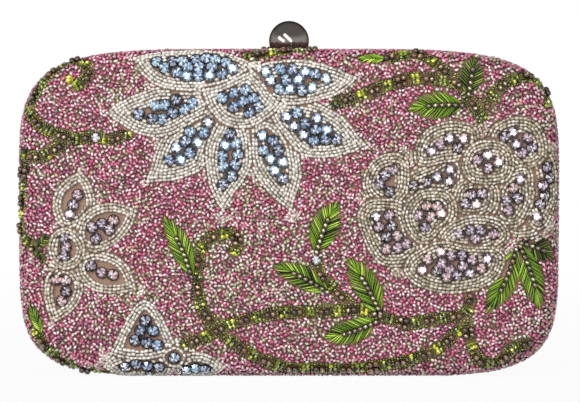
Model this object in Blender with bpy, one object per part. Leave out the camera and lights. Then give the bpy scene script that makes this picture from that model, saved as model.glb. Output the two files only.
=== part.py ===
"""A padded box clutch: two trays hinged along the bottom edge, held shut by a ball latch on top.

Metres, +Z up. The front faces -Y, the parting plane is Y = 0, and the origin is at the middle of
the foot that the closed clutch stands on. Depth is measured from the parting plane, and inset is
measured inwards from the outline of the padded covers.
"""

import math

import bmesh
import bpy
from mathutils import Matrix, Vector

# The covers' outline, seen from the front
BODY_WIDTH = 0.178
BODY_HEIGHT = 0.108
WIDEST_HEIGHT = 0.054
TOP_FULLNESS = 5.2
BOTTOM_FULLNESS = 5.7
FOOT_FLATTENING = 0.0005
QUARTER_POINTS = 11
OUTLINE_SAMPLES = 600
STRAIGHT_STEP = 0.030
TURN_STEP = math.radians(13.0)

# Cover: the fabric with its beads, a padded skin
HALF_DEPTH = 0.024
CROWN = 0.001
COVER_THICKNESS = 0.0016
EDGE_ROUND = 0.009
EDGE_ROUND_DEPTH = 0.0065
ROLL_DEPTH = 0.010
ROLL_POWER = 1.5
EDGE_STEPS = 4
ROLL_DEPTH_SHARES = (0.66, 0.33)
CROWN_SHARES = (0.45, 0.8)

# Frame: a channel of sheet metal that takes the edges of one tray
FRAME_INSET = 0.0042
FRAME_SHEET = 0.0007
FRAME_WEB = 0.0008
OUTER_LEG_DEPTH = 0.00335
INNER_LEG_DEPTH = 0.006
PARTING_GAP = 0.0003
SEAT_GAP = 0.0003

# Shell, padding and lining
SHELL_WALL = 0.0015
SHELL_ROUND = 0.005
SHELL_STEPS = 3
PADDING_THICKNESS = 0.0012
PADDING_MOUTH = 0.0075
LINING_WALL = 0.0006

# Hinges: two, of five knuckles each
HINGE_SPACING = 0.074
HINGE_DROP = 0.0005
KNUCKLE_COUNT = 5
KNUCKLE_LENGTH = 0.0036
KNUCKLE_GAP = 0.0003
KNUCKLE_RADIUS = 0.0013
HINGE_PIN_RADIUS = 0.0007
RUNNING_CLEARANCE = 0.0001
LEAF_SHEET = 0.0005
LEAF_WIDTH = 0.0033
METAL_GAP = 0.0001
HINGE_PIN_OVERHANG = 0.0002
BARREL_SIDES = 16

# Latch: a lever on the back frame, hooked over a lip on the front frame
BALL_RADIUS = 0.0067
BALL_RISE = 0.0028
LATCH_PIN_DEPTH = 0.00205
LATCH_PIN_RISE = 0.0012
LATCH_PIN_RADIUS = 0.00042
LUG_RADIUS = 0.001
LUG_WIDTH = 0.0017
LEVER_WIDTH = 0.0098
LEVER_SHEET = 0.0008
LEVER_RISE = 0.0014
LEVER_REACH = 0.0031
LEVER_TAIL = 0.0006
LATCH_TRAVEL = math.radians(10.0)
HOOK_WIDTH = 0.006
HOOK_SHEET = 0.0006
HOOK_TIP_RISE = 0.0006
LIP_WIDTH = 0.0064
LIP_SHEET = 0.0005
LIP_RISE = 0.00125
HOOK_GAP = 0.0003
COLLAR_RADIUS = 0.0032
COLLAR_SHEET = 0.0004
STUD_RADIUS = 0.00085
STUD_HEAD_RADIUS = 0.0013
STUD_HEAD_SHEET = 0.0004
STUD_BITE = 0.0036
EAR_SHEET = 0.0008
EAR_RADIUS = 0.00115
EAR_GAP = 0.0004
PLATE_SHEET = 0.0004
PLATE_WIDTH = 0.021
PLATE_EDGE_DEPTH = 0.0032
PLATE_START_DEPTH = 0.00035
PLATE_STRIP_DEPTH = 0.0009
RIVET_SPACING = 0.0172
RIVET_DEPTH = 0.0018
RIVET_RADIUS = 0.0005
RIVET_HEAD_RADIUS = 0.001
RIVET_HEAD_RISE = 0.0005
RIVET_CROWN_SHARE = 0.7
SPRING_RADIUS = 0.00078
SPRING_WIRE_RADIUS = 0.00013
SPRING_TURNS = 5
SPRING_TURN_POINTS = 10
SPRING_LENGTH = 0.0036
BALL_SEGMENTS = 24
BALL_RINGS = 14
ROUND_SIDES = 20
SMALL_SIDES = 12
SHARP_ANGLE = math.radians(35.0)

CUT_OVERRUN = 0.001
WELD_DISTANCE = 0.000001

# Worked out from the sizes above
HALF_WIDTH = BODY_WIDTH / 2
FACE_DEPTH = HALF_DEPTH - CROWN
COVER_MOUTH = OUTER_LEG_DEPTH + SEAT_GAP
COVER_MOUTH_INSET = FRAME_INSET - SEAT_GAP / 2
SHELL_DEPTH = FACE_DEPTH - COVER_THICKNESS - SEAT_GAP - PADDING_THICKNESS - SEAT_GAP
SHELL_INSET = FRAME_INSET + FRAME_SHEET + SEAT_GAP
SHELL_MOUTH = PARTING_GAP / 2 + FRAME_WEB + SEAT_GAP
LINING_INSET = SHELL_INSET + SHELL_WALL + SEAT_GAP
INNER_LEG_INSET = LINING_INSET + LINING_WALL + SEAT_GAP
FRAME_INNER_INSET = INNER_LEG_INSET + FRAME_SHEET
FRAME_TOP = BODY_HEIGHT - FRAME_INSET
HINGE_HEIGHT = FRAME_INSET - HINGE_DROP
HINGE_LENGTH = KNUCKLE_COUNT * KNUCKLE_LENGTH + (KNUCKLE_COUNT - 1) * KNUCKLE_GAP
LATCH_PIN_HEIGHT = FRAME_TOP + LATCH_PIN_RISE
LEVER_BOTTOM = FRAME_TOP + LEVER_RISE
LEVER_TOP = LEVER_BOTTOM + LEVER_SHEET
BALL_HEIGHT = BODY_HEIGHT + BALL_RISE
BALL_SEAT = LEVER_TOP + METAL_GAP + COLLAR_SHEET + METAL_GAP
PLATE_BOTTOM = FRAME_TOP + METAL_GAP
PLATE_TOP = PLATE_BOTTOM + PLATE_SHEET
EAR_INNER = LEVER_WIDTH / 2 + EAR_GAP
HOLE_RADIUS = LATCH_PIN_RADIUS + RUNNING_CLEARANCE

GUNMETAL = ((0.09, 0.085, 0.08), 0.25, 1.0)
NICKEL = ((0.42, 0.41, 0.39), 0.3, 1.0)
SPRING_STEEL = ((0.5, 0.5, 0.5), 0.35, 1.0)
BEADED_PINK = ((0.42, 0.18, 0.26), 0.4, 0.0)
MOULDED_BLACK = ((0.05, 0.05, 0.05), 0.6, 0.0)
WADDING = ((0.8, 0.78, 0.72), 0.95, 0.0)
SATIN = ((0.55, 0.45, 0.36), 0.45, 0.0)


def clear_scene():
    for found in list(bpy.data.objects):
        bpy.data.objects.remove(found, do_unlink=True)


def make_material(name, finish):
    colour, roughness, metallic = finish
    material = bpy.data.materials.new(name)
    material.use_nodes = True
    shader = material.node_tree.nodes["Principled BSDF"]
    shader.inputs["Base Color"].default_value = (*colour, 1.0)
    shader.inputs["Roughness"].default_value = roughness
    shader.inputs["Metallic"].default_value = metallic
    return material


def add_object(name, mesh_builder, finish):
    """Makes a named object of a bmesh, with its faces pointing out and its own material."""
    bmesh.ops.recalc_face_normals(mesh_builder, faces=mesh_builder.faces)
    mesh = bpy.data.meshes.new(name)
    mesh_builder.to_mesh(mesh)
    mesh_builder.free()
    made = bpy.data.objects.new(name, mesh)
    bpy.context.scene.collection.objects.link(made)
    if finish is not None:
        mesh.materials.append(make_material(name, finish))
        mesh.shade_smooth()
        mesh.set_sharp_from_angle(angle=SHARP_ANGLE)
    return made


def add_cutter(name, mesh_builder):
    made = add_object(name, mesh_builder, None)
    made.hide_render = True
    made.display_type = "WIRE"
    return made


def combine(target, other, operation):
    modifier = target.modifiers.new(operation.title(), "BOOLEAN")
    modifier.operation = operation
    modifier.solver = "EXACT"
    modifier.object = other


def child_of(parent, objects):
    """Parents objects to an empty on a joint's axis, leaving them where they are."""
    bpy.context.view_layer.update()
    for each in objects:
        each.parent = parent
        each.matrix_parent_inverse = parent.matrix_world.inverted()


def add_joint_axis(name, place):
    empty = bpy.data.objects.new(name, None)
    empty.location = place
    bpy.context.scene.collection.objects.link(empty)
    return empty


# Outline


def superellipse_point(angle, fullness, reach_x, reach_z):
    """Point and outward normal of a superellipse, in the direction of angle, in one quarter."""
    across = math.cos(angle) / reach_x
    up = math.sin(angle) / reach_z
    radius = (across**fullness + up**fullness) ** (-1.0 / fullness)
    x = radius * math.cos(angle)
    z = radius * math.sin(angle)
    normal = Vector(((x / reach_x) ** (fullness - 1) / reach_x, (z / reach_z) ** (fullness - 1) / reach_z))
    return Vector((x, z)), normal.normalized()


def quarter(fullness, reach_z):
    """QUARTER_POINTS + 1 points from the side to the middle of the top, closer where it turns."""
    quarter_turn = math.pi / 2
    fine = [
        superellipse_point(quarter_turn * (i + 0.5) / OUTLINE_SAMPLES, fullness, HALF_WIDTH, reach_z)
        for i in range(OUTLINE_SAMPLES)
    ]
    travelled = [0.0]
    for (a, normal_a), (b, normal_b) in zip(fine, fine[1:]):
        steps = (b - a).length / STRAIGHT_STEP + normal_a.angle(normal_b) / TURN_STEP
        travelled.append(travelled[-1] + steps)
    chosen = []
    at = 0
    for k in range(1, QUARTER_POINTS):
        target = travelled[-1] * k / QUARTER_POINTS
        while travelled[at] < target:
            at += 1
        chosen.append(fine[at])
    side = (Vector((HALF_WIDTH, 0.0)), Vector((1.0, 0.0)))
    top = (Vector((0.0, reach_z)), Vector((0.0, 1.0)))
    return [side, *chosen, top]


def make_outline():
    """The covers' outline as (point, normal) pairs, anticlockwise from the right side, seen from the front."""
    top = quarter(TOP_FULLNESS, BODY_HEIGHT - WIDEST_HEIGHT)
    bottom = quarter(BOTTOM_FULLNESS, WIDEST_HEIGHT + FOOT_FLATTENING)
    whole = []
    whole += [((p.x, p.y), (n.x, n.y)) for p, n in top]
    whole += [((-p.x, p.y), (-n.x, n.y)) for p, n in reversed(top[:-1])]
    whole += [((-p.x, -p.y), (-n.x, -n.y)) for p, n in bottom[1:]]
    whole += [((p.x, -p.y), (n.x, -n.y)) for p, n in reversed(bottom[1:-1])]
    outline = []
    for (x, up), (normal_x, normal_up) in whole:
        z = WIDEST_HEIGHT + up
        if z < 0:
            outline.append((Vector((x, 0.0)), Vector((0.0, -1.0))))
        else:
            outline.append((Vector((x, z)), Vector((normal_x, normal_up))))
    return outline


OUTLINE = make_outline()


def ring(inset, depth, side, share=1.0):
    """One ring of points: the outline moved in by inset, at a depth, on the side +1 back or -1 front."""
    points = []
    for point, normal in OUTLINE:
        moved = point - normal * inset
        points.append(
            Vector((moved.x * share, side * depth, WIDEST_HEIGHT + (moved.y - WIDEST_HEIGHT) * share))
        )
    return points


# Profiles: lists of (inset, depth, share), from the middle of a face out to the mouth


def edge_arc(centre_inset, centre_depth, reach_in, reach_deep, steps):
    """The rounded edge between a tray's face and its side wall."""
    return [
        (
            centre_inset - reach_in * math.sin(math.pi / 2 * k / steps),
            centre_depth + reach_deep * math.cos(math.pi / 2 * k / steps),
            1.0,
        )
        for k in range(steps + 1)
    ]


def roll_inset(depth):
    """How far in the cover's outer surface lies where it rolls down to the frame."""
    share = max(0.0, (ROLL_DEPTH - depth) / (ROLL_DEPTH - COVER_MOUTH))
    return COVER_MOUTH_INSET * share**ROLL_POWER


def padded_profile(thickness, mouth, deepest_inset, steps):
    """A surface that lies this far under the cover's outer surface, down to a mouth depth."""
    face = FACE_DEPTH - thickness
    crowned = [
        (EDGE_ROUND, face + CROWN * (1.0 - share * share), share) for share in CROWN_SHARES
    ]
    edge = edge_arc(
        EDGE_ROUND,
        FACE_DEPTH - EDGE_ROUND_DEPTH,
        EDGE_ROUND - thickness,
        EDGE_ROUND_DEPTH - thickness,
        steps,
    )
    depths = [ROLL_DEPTH]
    depths += [mouth + (ROLL_DEPTH - mouth) * share for share in ROLL_DEPTH_SHARES]
    depths.append(mouth)
    roll = [(min(roll_inset(depth) + thickness, deepest_inset), depth, 1.0) for depth in depths]
    return crowned + edge + roll


def tray_profile(inset, depth, corner, mouth):
    """A plain tray's surface: flat face, rounded edge, straight wall."""
    return [*edge_arc(inset + corner, depth - corner, corner, corner, SHELL_STEPS), (inset, mouth, 1.0)]


def extrude_to(builder, edges, verts, points):
    """Extrudes a loop of edges onto these points. Gives the new edges and vertices."""
    made = bmesh.ops.extrude_edge_only(builder, edges=edges)["geom"]
    new_edges = [each for each in made if isinstance(each, bmesh.types.BMEdge)]
    made_verts = {each for each in made if isinstance(each, bmesh.types.BMVert)}
    new_verts = []
    for old, point in zip(verts, points):
        new = next(edge.other_vert(old) for edge in old.link_edges if edge.other_vert(old) in made_verts)
        new.co = point
        new_verts.append(new)
    return new_edges, new_verts


def skin(name, outer, inner, side, finish, pole_depths=None):
    """A closed tray: out along the outer profile to the mouth, and back along the inner one."""
    rings = [ring(inset, depth, side, share) for inset, depth, share in outer]
    rings += [ring(inset, depth, side, share) for inset, depth, share in reversed(inner)]
    builder = bmesh.new()
    verts = [builder.verts.new(point) for point in rings[0]]
    first = builder.faces.new(verts)
    edges = list(first.edges)
    for points in rings[1:]:
        edges, verts = extrude_to(builder, edges, verts, points)
    last = builder.faces.new(verts)
    if pole_depths:
        for face, depth in zip((first, last), pole_depths):
            pole = bmesh.ops.poke(builder, faces=[face])["verts"][0]
            pole.co.y = side * depth
    return add_object(name, builder, finish)


def channel(name, side, finish):
    """The frame: its section swept round the outline."""
    parting = PARTING_GAP / 2
    web = parting + FRAME_WEB
    section = (
        (FRAME_INSET, parting),
        (FRAME_INSET, OUTER_LEG_DEPTH),
        (FRAME_INSET + FRAME_SHEET, OUTER_LEG_DEPTH),
        (FRAME_INSET + FRAME_SHEET, web),
        (INNER_LEG_INSET, web),
        (INNER_LEG_INSET, INNER_LEG_DEPTH),
        (FRAME_INNER_INSET, INNER_LEG_DEPTH),
        (FRAME_INNER_INSET, parting),
    )
    builder = bmesh.new()
    rings = [ring(inset, depth, side) for inset, depth in section]
    verts = [builder.verts.new(point) for point in rings[0]]
    edges = [builder.edges.new(pair) for pair in zip(verts, verts[1:] + verts[:1])]
    for points in rings[1:] + rings[:1]:
        edges, verts = extrude_to(builder, edges, verts, points)
    bmesh.ops.remove_doubles(builder, verts=builder.verts, dist=WELD_DISTANCE)
    return add_object(name, builder, finish)


# Plain shapes, as bmeshes


def block(x_range, y_range, z_range):
    """A box between these limits."""
    builder = bmesh.new()
    bmesh.ops.create_cube(builder, size=1.0)
    size = [high - low for low, high in (x_range, y_range, z_range)]
    middle = [(high + low) / 2 for low, high in (x_range, y_range, z_range)]
    bmesh.ops.scale(builder, vec=size, verts=builder.verts)
    bmesh.ops.translate(builder, vec=middle, verts=builder.verts)
    return builder


def rod(radius, length, axis, place, sides):
    """A solid cylinder along X or Z, centred on place."""
    builder = bmesh.new()
    bmesh.ops.create_cone(
        builder, cap_ends=True, segments=sides, radius1=radius, radius2=radius, depth=length
    )
    if axis == "X":
        bmesh.ops.rotate(builder, matrix=Matrix.Rotation(math.pi / 2, 3, "Y"), verts=builder.verts)
    bmesh.ops.translate(builder, vec=place, verts=builder.verts)
    return builder


def turned(profile, place, sides):
    """A solid turned about Z from (radius, height) points that start and end on the axis."""
    builder = bmesh.new()
    verts = [builder.verts.new((radius, 0.0, height)) for radius, height in profile]
    edges = [builder.edges.new(pair) for pair in zip(verts, verts[1:])]
    bmesh.ops.spin(
        builder,
        geom=verts + edges,
        cent=(0.0, 0.0, 0.0),
        axis=(0.0, 0.0, 1.0),
        angle=2 * math.pi,
        steps=sides,
        use_merge=True,
    )
    bmesh.ops.remove_doubles(builder, verts=builder.verts, dist=WELD_DISTANCE)
    bmesh.ops.translate(builder, vec=place, verts=builder.verts)
    return builder


# The two trays


def make_tray(prefix, side):
    """One half: cover, padding, shell, lining and frame."""
    cover = skin(
        f"{prefix}_cover",
        padded_profile(0.0, COVER_MOUTH, COVER_MOUTH_INSET, EDGE_STEPS),
        padded_profile(COVER_THICKNESS, COVER_MOUTH, SHELL_INSET - SEAT_GAP, EDGE_STEPS - 1),
        side,
        BEADED_PINK,
        (HALF_DEPTH, HALF_DEPTH - COVER_THICKNESS),
    )
    padding_inner = tray_profile(
        SHELL_INSET - SEAT_GAP, SHELL_DEPTH + SEAT_GAP, SHELL_ROUND + SEAT_GAP, PADDING_MOUTH
    )
    under_cover = COVER_THICKNESS + SEAT_GAP
    padding = skin(
        f"{prefix}_padding",
        padded_profile(under_cover, PADDING_MOUTH, SHELL_INSET, EDGE_STEPS - 1),
        padding_inner,
        side,
        WADDING,
    )
    shell = skin(
        f"{prefix}_shell",
        tray_profile(SHELL_INSET, SHELL_DEPTH, SHELL_ROUND, SHELL_MOUTH),
        tray_profile(
            SHELL_INSET + SHELL_WALL, SHELL_DEPTH - SHELL_WALL, SHELL_ROUND - SHELL_WALL, SHELL_MOUTH
        ),
        side,
        MOULDED_BLACK,
    )
    lining_depth = SHELL_DEPTH - SHELL_WALL - SEAT_GAP
    lining_round = SHELL_ROUND - SHELL_WALL - SEAT_GAP
    lining = skin(
        f"{prefix}_lining",
        tray_profile(LINING_INSET, lining_depth, lining_round, SHELL_MOUTH),
        tray_profile(
            LINING_INSET + LINING_WALL, lining_depth - LINING_WALL, lining_round - LINING_WALL, SHELL_MOUTH
        ),
        side,
        SATIN,
    )
    frame = channel(f"{prefix}_frame", side, GUNMETAL)
    return [cover, padding, shell, lining, frame]


# Hinges


def knuckle_span(index):
    start = index * (KNUCKLE_LENGTH + KNUCKLE_GAP) - HINGE_LENGTH / 2
    return start, start + KNUCKLE_LENGTH


def make_leaf(name, side, centre, first_slot):
    """A leaf under the frame's outer leg. Every other knuckle place is cut away, from first_slot."""
    leaf_top = FRAME_INSET - METAL_GAP
    leaf = add_object(
        name,
        block(
            (centre - HINGE_LENGTH / 2, centre + HINGE_LENGTH / 2),
            sorted((side * KNUCKLE_RADIUS / 2, side * LEAF_WIDTH)),
            (leaf_top - LEAF_SHEET, leaf_top),
        ),
        GUNMETAL,
    )
    axis_place = (centre, 0.0, HINGE_HEIGHT)
    barrel = add_cutter(
        f"{name}_barrel", rod(KNUCKLE_RADIUS, HINGE_LENGTH, "X", axis_place, BARREL_SIDES)
    )
    combine(leaf, barrel, "UNION")
    bore = add_cutter(
        f"{name}_bore",
        rod(
            HINGE_PIN_RADIUS + RUNNING_CLEARANCE,
            HINGE_LENGTH + CUT_OVERRUN,
            "X",
            axis_place,
            BARREL_SIDES,
        ),
    )
    combine(leaf, bore, "DIFFERENCE")
    reach = KNUCKLE_RADIUS + KNUCKLE_GAP
    for index in range(first_slot, KNUCKLE_COUNT, 2):
        start, end = knuckle_span(index)
        slot = add_cutter(
            f"{name}_slot_{index}",
            block(
                (centre + start - KNUCKLE_GAP, centre + end + KNUCKLE_GAP),
                (-reach, reach),
                (HINGE_HEIGHT - reach, HINGE_HEIGHT + reach),
            ),
        )
        combine(leaf, slot, "DIFFERENCE")
    return leaf


def make_hinge(label, centre):
    """Back leaf with three knuckles, front leaf with two, and the pin. Gives (back pieces, front pieces)."""
    back_leaf = make_leaf(f"hinge_{label}_back_leaf", 1, centre, 1)
    front_leaf = make_leaf(f"hinge_{label}_front_leaf", -1, centre, 0)
    pin = add_object(
        f"hinge_{label}_pin",
        rod(
            HINGE_PIN_RADIUS,
            HINGE_LENGTH + 2 * HINGE_PIN_OVERHANG,
            "X",
            (centre, 0.0, HINGE_HEIGHT),
            BARREL_SIDES,
        ),
        NICKEL,
    )
    return [back_leaf, pin], [front_leaf]


def notch_for_hinge(frame, label, centre):
    """Room in a frame's corner for the barrel."""
    reach = KNUCKLE_RADIUS + KNUCKLE_GAP
    notch = add_cutter(
        f"{frame.name}_notch_{label}",
        rod(
            reach,
            HINGE_LENGTH + 2 * reach,
            "X",
            (centre, 0.0, HINGE_HEIGHT),
            BARREL_SIDES,
        ),
    )
    combine(frame, notch, "DIFFERENCE")


# Latch


def make_rivet(name, x, side):
    """A snap rivet through a plate and the frame's outer leg, flush below the leg."""
    foot = FRAME_TOP - FRAME_SHEET + METAL_GAP
    seat = PLATE_TOP + METAL_GAP
    profile = (
        (0.0, foot),
        (RIVET_RADIUS, foot),
        (RIVET_RADIUS, seat),
        (RIVET_HEAD_RADIUS, seat),
        (RIVET_HEAD_RADIUS, seat + RIVET_HEAD_RISE / 2),
        (RIVET_HEAD_RADIUS * RIVET_CROWN_SHARE, seat + RIVET_HEAD_RISE),
        (0.0, seat + RIVET_HEAD_RISE),
    )
    return add_object(name, turned(profile, (x, side * RIVET_DEPTH, 0.0), SMALL_SIDES), NICKEL)


def drill_rivet_holes(piece, side):
    """Holes for two rivets, straight down through whatever lies there."""
    top = PLATE_TOP + CUT_OVERRUN
    bottom = FRAME_TOP - FRAME_SHEET - SEAT_GAP / 2
    for label, x in (("left", -RIVET_SPACING / 2), ("right", RIVET_SPACING / 2)):
        drill = add_cutter(
            f"{piece.name}_drill_{label}",
            rod(
                RIVET_RADIUS + RUNNING_CLEARANCE,
                top - bottom,
                "Z",
                (x, side * RIVET_DEPTH, (top + bottom) / 2),
                SMALL_SIDES,
            ),
        )
        combine(piece, drill, "DIFFERENCE")


def make_latch_base():
    """The bracket on the back frame: a plate with a window under the lever, and two ears for the pin."""
    base = add_object(
        "latch_base",
        block(
            (-PLATE_WIDTH / 2, PLATE_WIDTH / 2),
            (PLATE_START_DEPTH, PLATE_EDGE_DEPTH),
            (PLATE_BOTTOM, PLATE_TOP),
        ),
        NICKEL,
    )
    for label, side in (("left", -1), ("right", 1)):
        inner = side * EAR_INNER
        outer = side * (EAR_INNER + EAR_SHEET)
        ear = add_cutter(
            f"latch_ear_{label}",
            block(
                sorted((inner, outer)),
                (LATCH_PIN_DEPTH - EAR_RADIUS, LATCH_PIN_DEPTH + EAR_RADIUS),
                (PLATE_BOTTOM + PLATE_SHEET / 2, LATCH_PIN_HEIGHT),
            ),
        )
        crown = add_cutter(
            f"latch_ear_crown_{label}",
            rod(
                EAR_RADIUS,
                EAR_SHEET,
                "X",
                ((inner + outer) / 2, LATCH_PIN_DEPTH, LATCH_PIN_HEIGHT),
                ROUND_SIDES,
            ),
        )
        combine(base, ear, "UNION")
        combine(base, crown, "UNION")
    window = add_cutter(
        "latch_base_window",
        block(
            (-EAR_INNER, EAR_INNER),
            (PLATE_STRIP_DEPTH, PLATE_EDGE_DEPTH + CUT_OVERRUN),
            (PLATE_BOTTOM - CUT_OVERRUN, PLATE_TOP + CUT_OVERRUN),
        ),
    )
    combine(base, window, "DIFFERENCE")
    pin_hole = add_cutter(
        "latch_base_pin_hole",
        rod(
            HOLE_RADIUS,
            2 * (EAR_INNER + EAR_SHEET) + CUT_OVERRUN,
            "X",
            (0.0, LATCH_PIN_DEPTH, LATCH_PIN_HEIGHT),
            SMALL_SIDES,
        ),
    )
    combine(base, pin_hole, "DIFFERENCE")
    drill_rivet_holes(base, 1)
    return base


def make_latch_pin():
    length = 2 * (EAR_INNER + EAR_SHEET + HINGE_PIN_OVERHANG)
    place = (0.0, LATCH_PIN_DEPTH, LATCH_PIN_HEIGHT)
    return add_object("latch_pin", rod(LATCH_PIN_RADIUS, length, "X", place, SMALL_SIDES), NICKEL)


def make_catch():
    """The plate on the front frame, with the lip that the hook drops behind."""
    catch = add_object(
        "catch_plate",
        block(
            (-PLATE_WIDTH / 2, PLATE_WIDTH / 2),
            (-PLATE_EDGE_DEPTH, -PLATE_START_DEPTH),
            (PLATE_BOTTOM, PLATE_TOP),
        ),
        NICKEL,
    )
    lip_front = -(LEVER_REACH - HOOK_SHEET - HOOK_GAP)
    lip = add_cutter(
        "catch_lip",
        block(
            (-LIP_WIDTH / 2, LIP_WIDTH / 2),
            (lip_front, lip_front + LIP_SHEET),
            (PLATE_BOTTOM + PLATE_SHEET / 2, FRAME_TOP + LIP_RISE),
        ),
    )
    combine(catch, lip, "UNION")
    drill_rivet_holes(catch, -1)
    return catch


def make_lever():
    """A flat lever with a hook at the front, two lugs on the pin and a window for the spring."""
    window_end = LATCH_PIN_DEPTH + LUG_RADIUS
    lever = add_object(
        "latch_lever",
        block(
            (-LEVER_WIDTH / 2, LEVER_WIDTH / 2),
            (-LEVER_REACH, window_end + LEVER_TAIL),
            (LEVER_BOTTOM, LEVER_TOP),
        ),
        GUNMETAL,
    )
    hook = add_cutter(
        "latch_hook",
        block(
            (-HOOK_WIDTH / 2, HOOK_WIDTH / 2),
            (-LEVER_REACH, -LEVER_REACH + HOOK_SHEET),
            (FRAME_TOP + HOOK_TIP_RISE, LEVER_BOTTOM + LEVER_SHEET / 2),
        ),
    )
    combine(lever, hook, "UNION")
    window_half_width = LEVER_WIDTH / 2 - LUG_WIDTH
    for label, side in (("left", -1), ("right", 1)):
        lug = add_cutter(
            f"latch_lug_{label}",
            rod(
                LUG_RADIUS,
                LUG_WIDTH,
                "X",
                (side * (window_half_width + LUG_WIDTH / 2), LATCH_PIN_DEPTH, LATCH_PIN_HEIGHT),
                ROUND_SIDES,
            ),
        )
        combine(lever, lug, "UNION")
    window = add_cutter(
        "latch_spring_window",
        block(
            (-window_half_width, window_half_width),
            (LATCH_PIN_DEPTH - LUG_RADIUS, window_end),
            (FRAME_TOP, LEVER_TOP + CUT_OVERRUN),
        ),
    )
    combine(lever, window, "DIFFERENCE")
    pin_hole = add_cutter(
        "latch_lever_pin_hole",
        rod(
            HOLE_RADIUS,
            LEVER_WIDTH + CUT_OVERRUN,
            "X",
            (0.0, LATCH_PIN_DEPTH, LATCH_PIN_HEIGHT),
            SMALL_SIDES,
        ),
    )
    combine(lever, pin_hole, "DIFFERENCE")
    stud_hole = add_cutter(
        "latch_lever_stud_hole",
        rod(
            STUD_RADIUS + RUNNING_CLEARANCE,
            LEVER_SHEET + CUT_OVERRUN,
            "Z",
            (0.0, 0.0, LEVER_BOTTOM + LEVER_SHEET / 2),
            SMALL_SIDES,
        ),
    )
    combine(lever, stud_hole, "DIFFERENCE")
    return lever


def make_ball():
    """The ball, with a flat seat and a socket for the stud."""
    drop = BALL_HEIGHT - BALL_SEAT
    seat_angle = math.acos(drop / BALL_RADIUS)
    socket_radius = STUD_RADIUS + RUNNING_CLEARANCE
    socket_top = BALL_SEAT + STUD_BITE + SEAT_GAP
    profile = [(0.0, socket_top), (socket_radius, socket_top), (socket_radius, BALL_SEAT)]
    for k in range(BALL_RINGS + 1):
        angle = seat_angle + (math.pi - seat_angle) * k / BALL_RINGS
        profile.append((BALL_RADIUS * math.sin(angle), BALL_HEIGHT - BALL_RADIUS * math.cos(angle)))
    profile[-1] = (0.0, BALL_HEIGHT + BALL_RADIUS)
    return add_object("clasp_ball", turned(profile, (0.0, 0.0, 0.0), BALL_SEGMENTS), GUNMETAL)


def make_collar():
    """The washer between the lever and the ball."""
    bottom = LEVER_TOP + METAL_GAP
    top = bottom + COLLAR_SHEET
    collar = add_object(
        "clasp_collar",
        rod(COLLAR_RADIUS, COLLAR_SHEET, "Z", (0.0, 0.0, (bottom + top) / 2), ROUND_SIDES),
        NICKEL,
    )
    hole = add_cutter(
        "clasp_collar_hole",
        rod(
            STUD_RADIUS + RUNNING_CLEARANCE,
            COLLAR_SHEET + CUT_OVERRUN,
            "Z",
            (0.0, 0.0, (bottom + top) / 2),
            SMALL_SIDES,
        ),
    )
    combine(collar, hole, "DIFFERENCE")
    return collar


def make_stud():
    """The screw that clamps the ball and collar to the lever, put in from below."""
    head_top = LEVER_BOTTOM - METAL_GAP
    profile = (
        (0.0, head_top - STUD_HEAD_SHEET),
        (STUD_HEAD_RADIUS, head_top - STUD_HEAD_SHEET),
        (STUD_HEAD_RADIUS, head_top),
        (STUD_RADIUS, head_top),
        (STUD_RADIUS, BALL_SEAT + STUD_BITE),
        (0.0, BALL_SEAT + STUD_BITE),
    )
    return add_object("clasp_stud", turned(profile, (0.0, 0.0, 0.0), SMALL_SIDES), NICKEL)


def make_spring():
    """A torsion spring on the pin: one leg stands on the frame, the other follows the lever's tail."""
    pitch = SPRING_LENGTH / SPRING_TURNS
    points = []
    for k in range(SPRING_TURNS * SPRING_TURN_POINTS):
        angle = 2 * math.pi * k / SPRING_TURN_POINTS
        points.append(
            (
                -SPRING_LENGTH / 2 + pitch * k / SPRING_TURN_POINTS,
                LATCH_PIN_DEPTH + SPRING_RADIUS * math.cos(angle),
                LATCH_PIN_HEIGHT + SPRING_RADIUS * math.sin(angle),
            )
        )
    first = points[0]
    last = points[-1]
    tail_reach = LUG_RADIUS + LEVER_TAIL
    tail_rise = LEVER_BOTTOM - LATCH_PIN_HEIGHT
    tail_drop = tail_reach * math.sin(LATCH_TRAVEL) - tail_rise * math.cos(LATCH_TRAVEL)
    leg_height = LATCH_PIN_HEIGHT - tail_drop - SPRING_WIRE_RADIUS - METAL_GAP
    points.insert(0, (first[0], first[1], FRAME_TOP + METAL_GAP))
    points.append((last[0], LATCH_PIN_DEPTH + tail_reach, leg_height))
    curve = bpy.data.curves.new("latch_spring", "CURVE")
    curve.dimensions = "3D"
    curve.bevel_depth = SPRING_WIRE_RADIUS
    curve.bevel_resolution = 1
    curve.use_fill_caps = True
    spline = curve.splines.new("POLY")
    spline.points.add(len(points) - 1)
    for spline_point, point in zip(spline.points, points):
        spline_point.co = (*point, 1.0)
    spring = bpy.data.objects.new("latch_spring", curve)
    bpy.context.scene.collection.objects.link(spring)
    curve.materials.append(make_material("latch_spring", SPRING_STEEL))
    return spring


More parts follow.
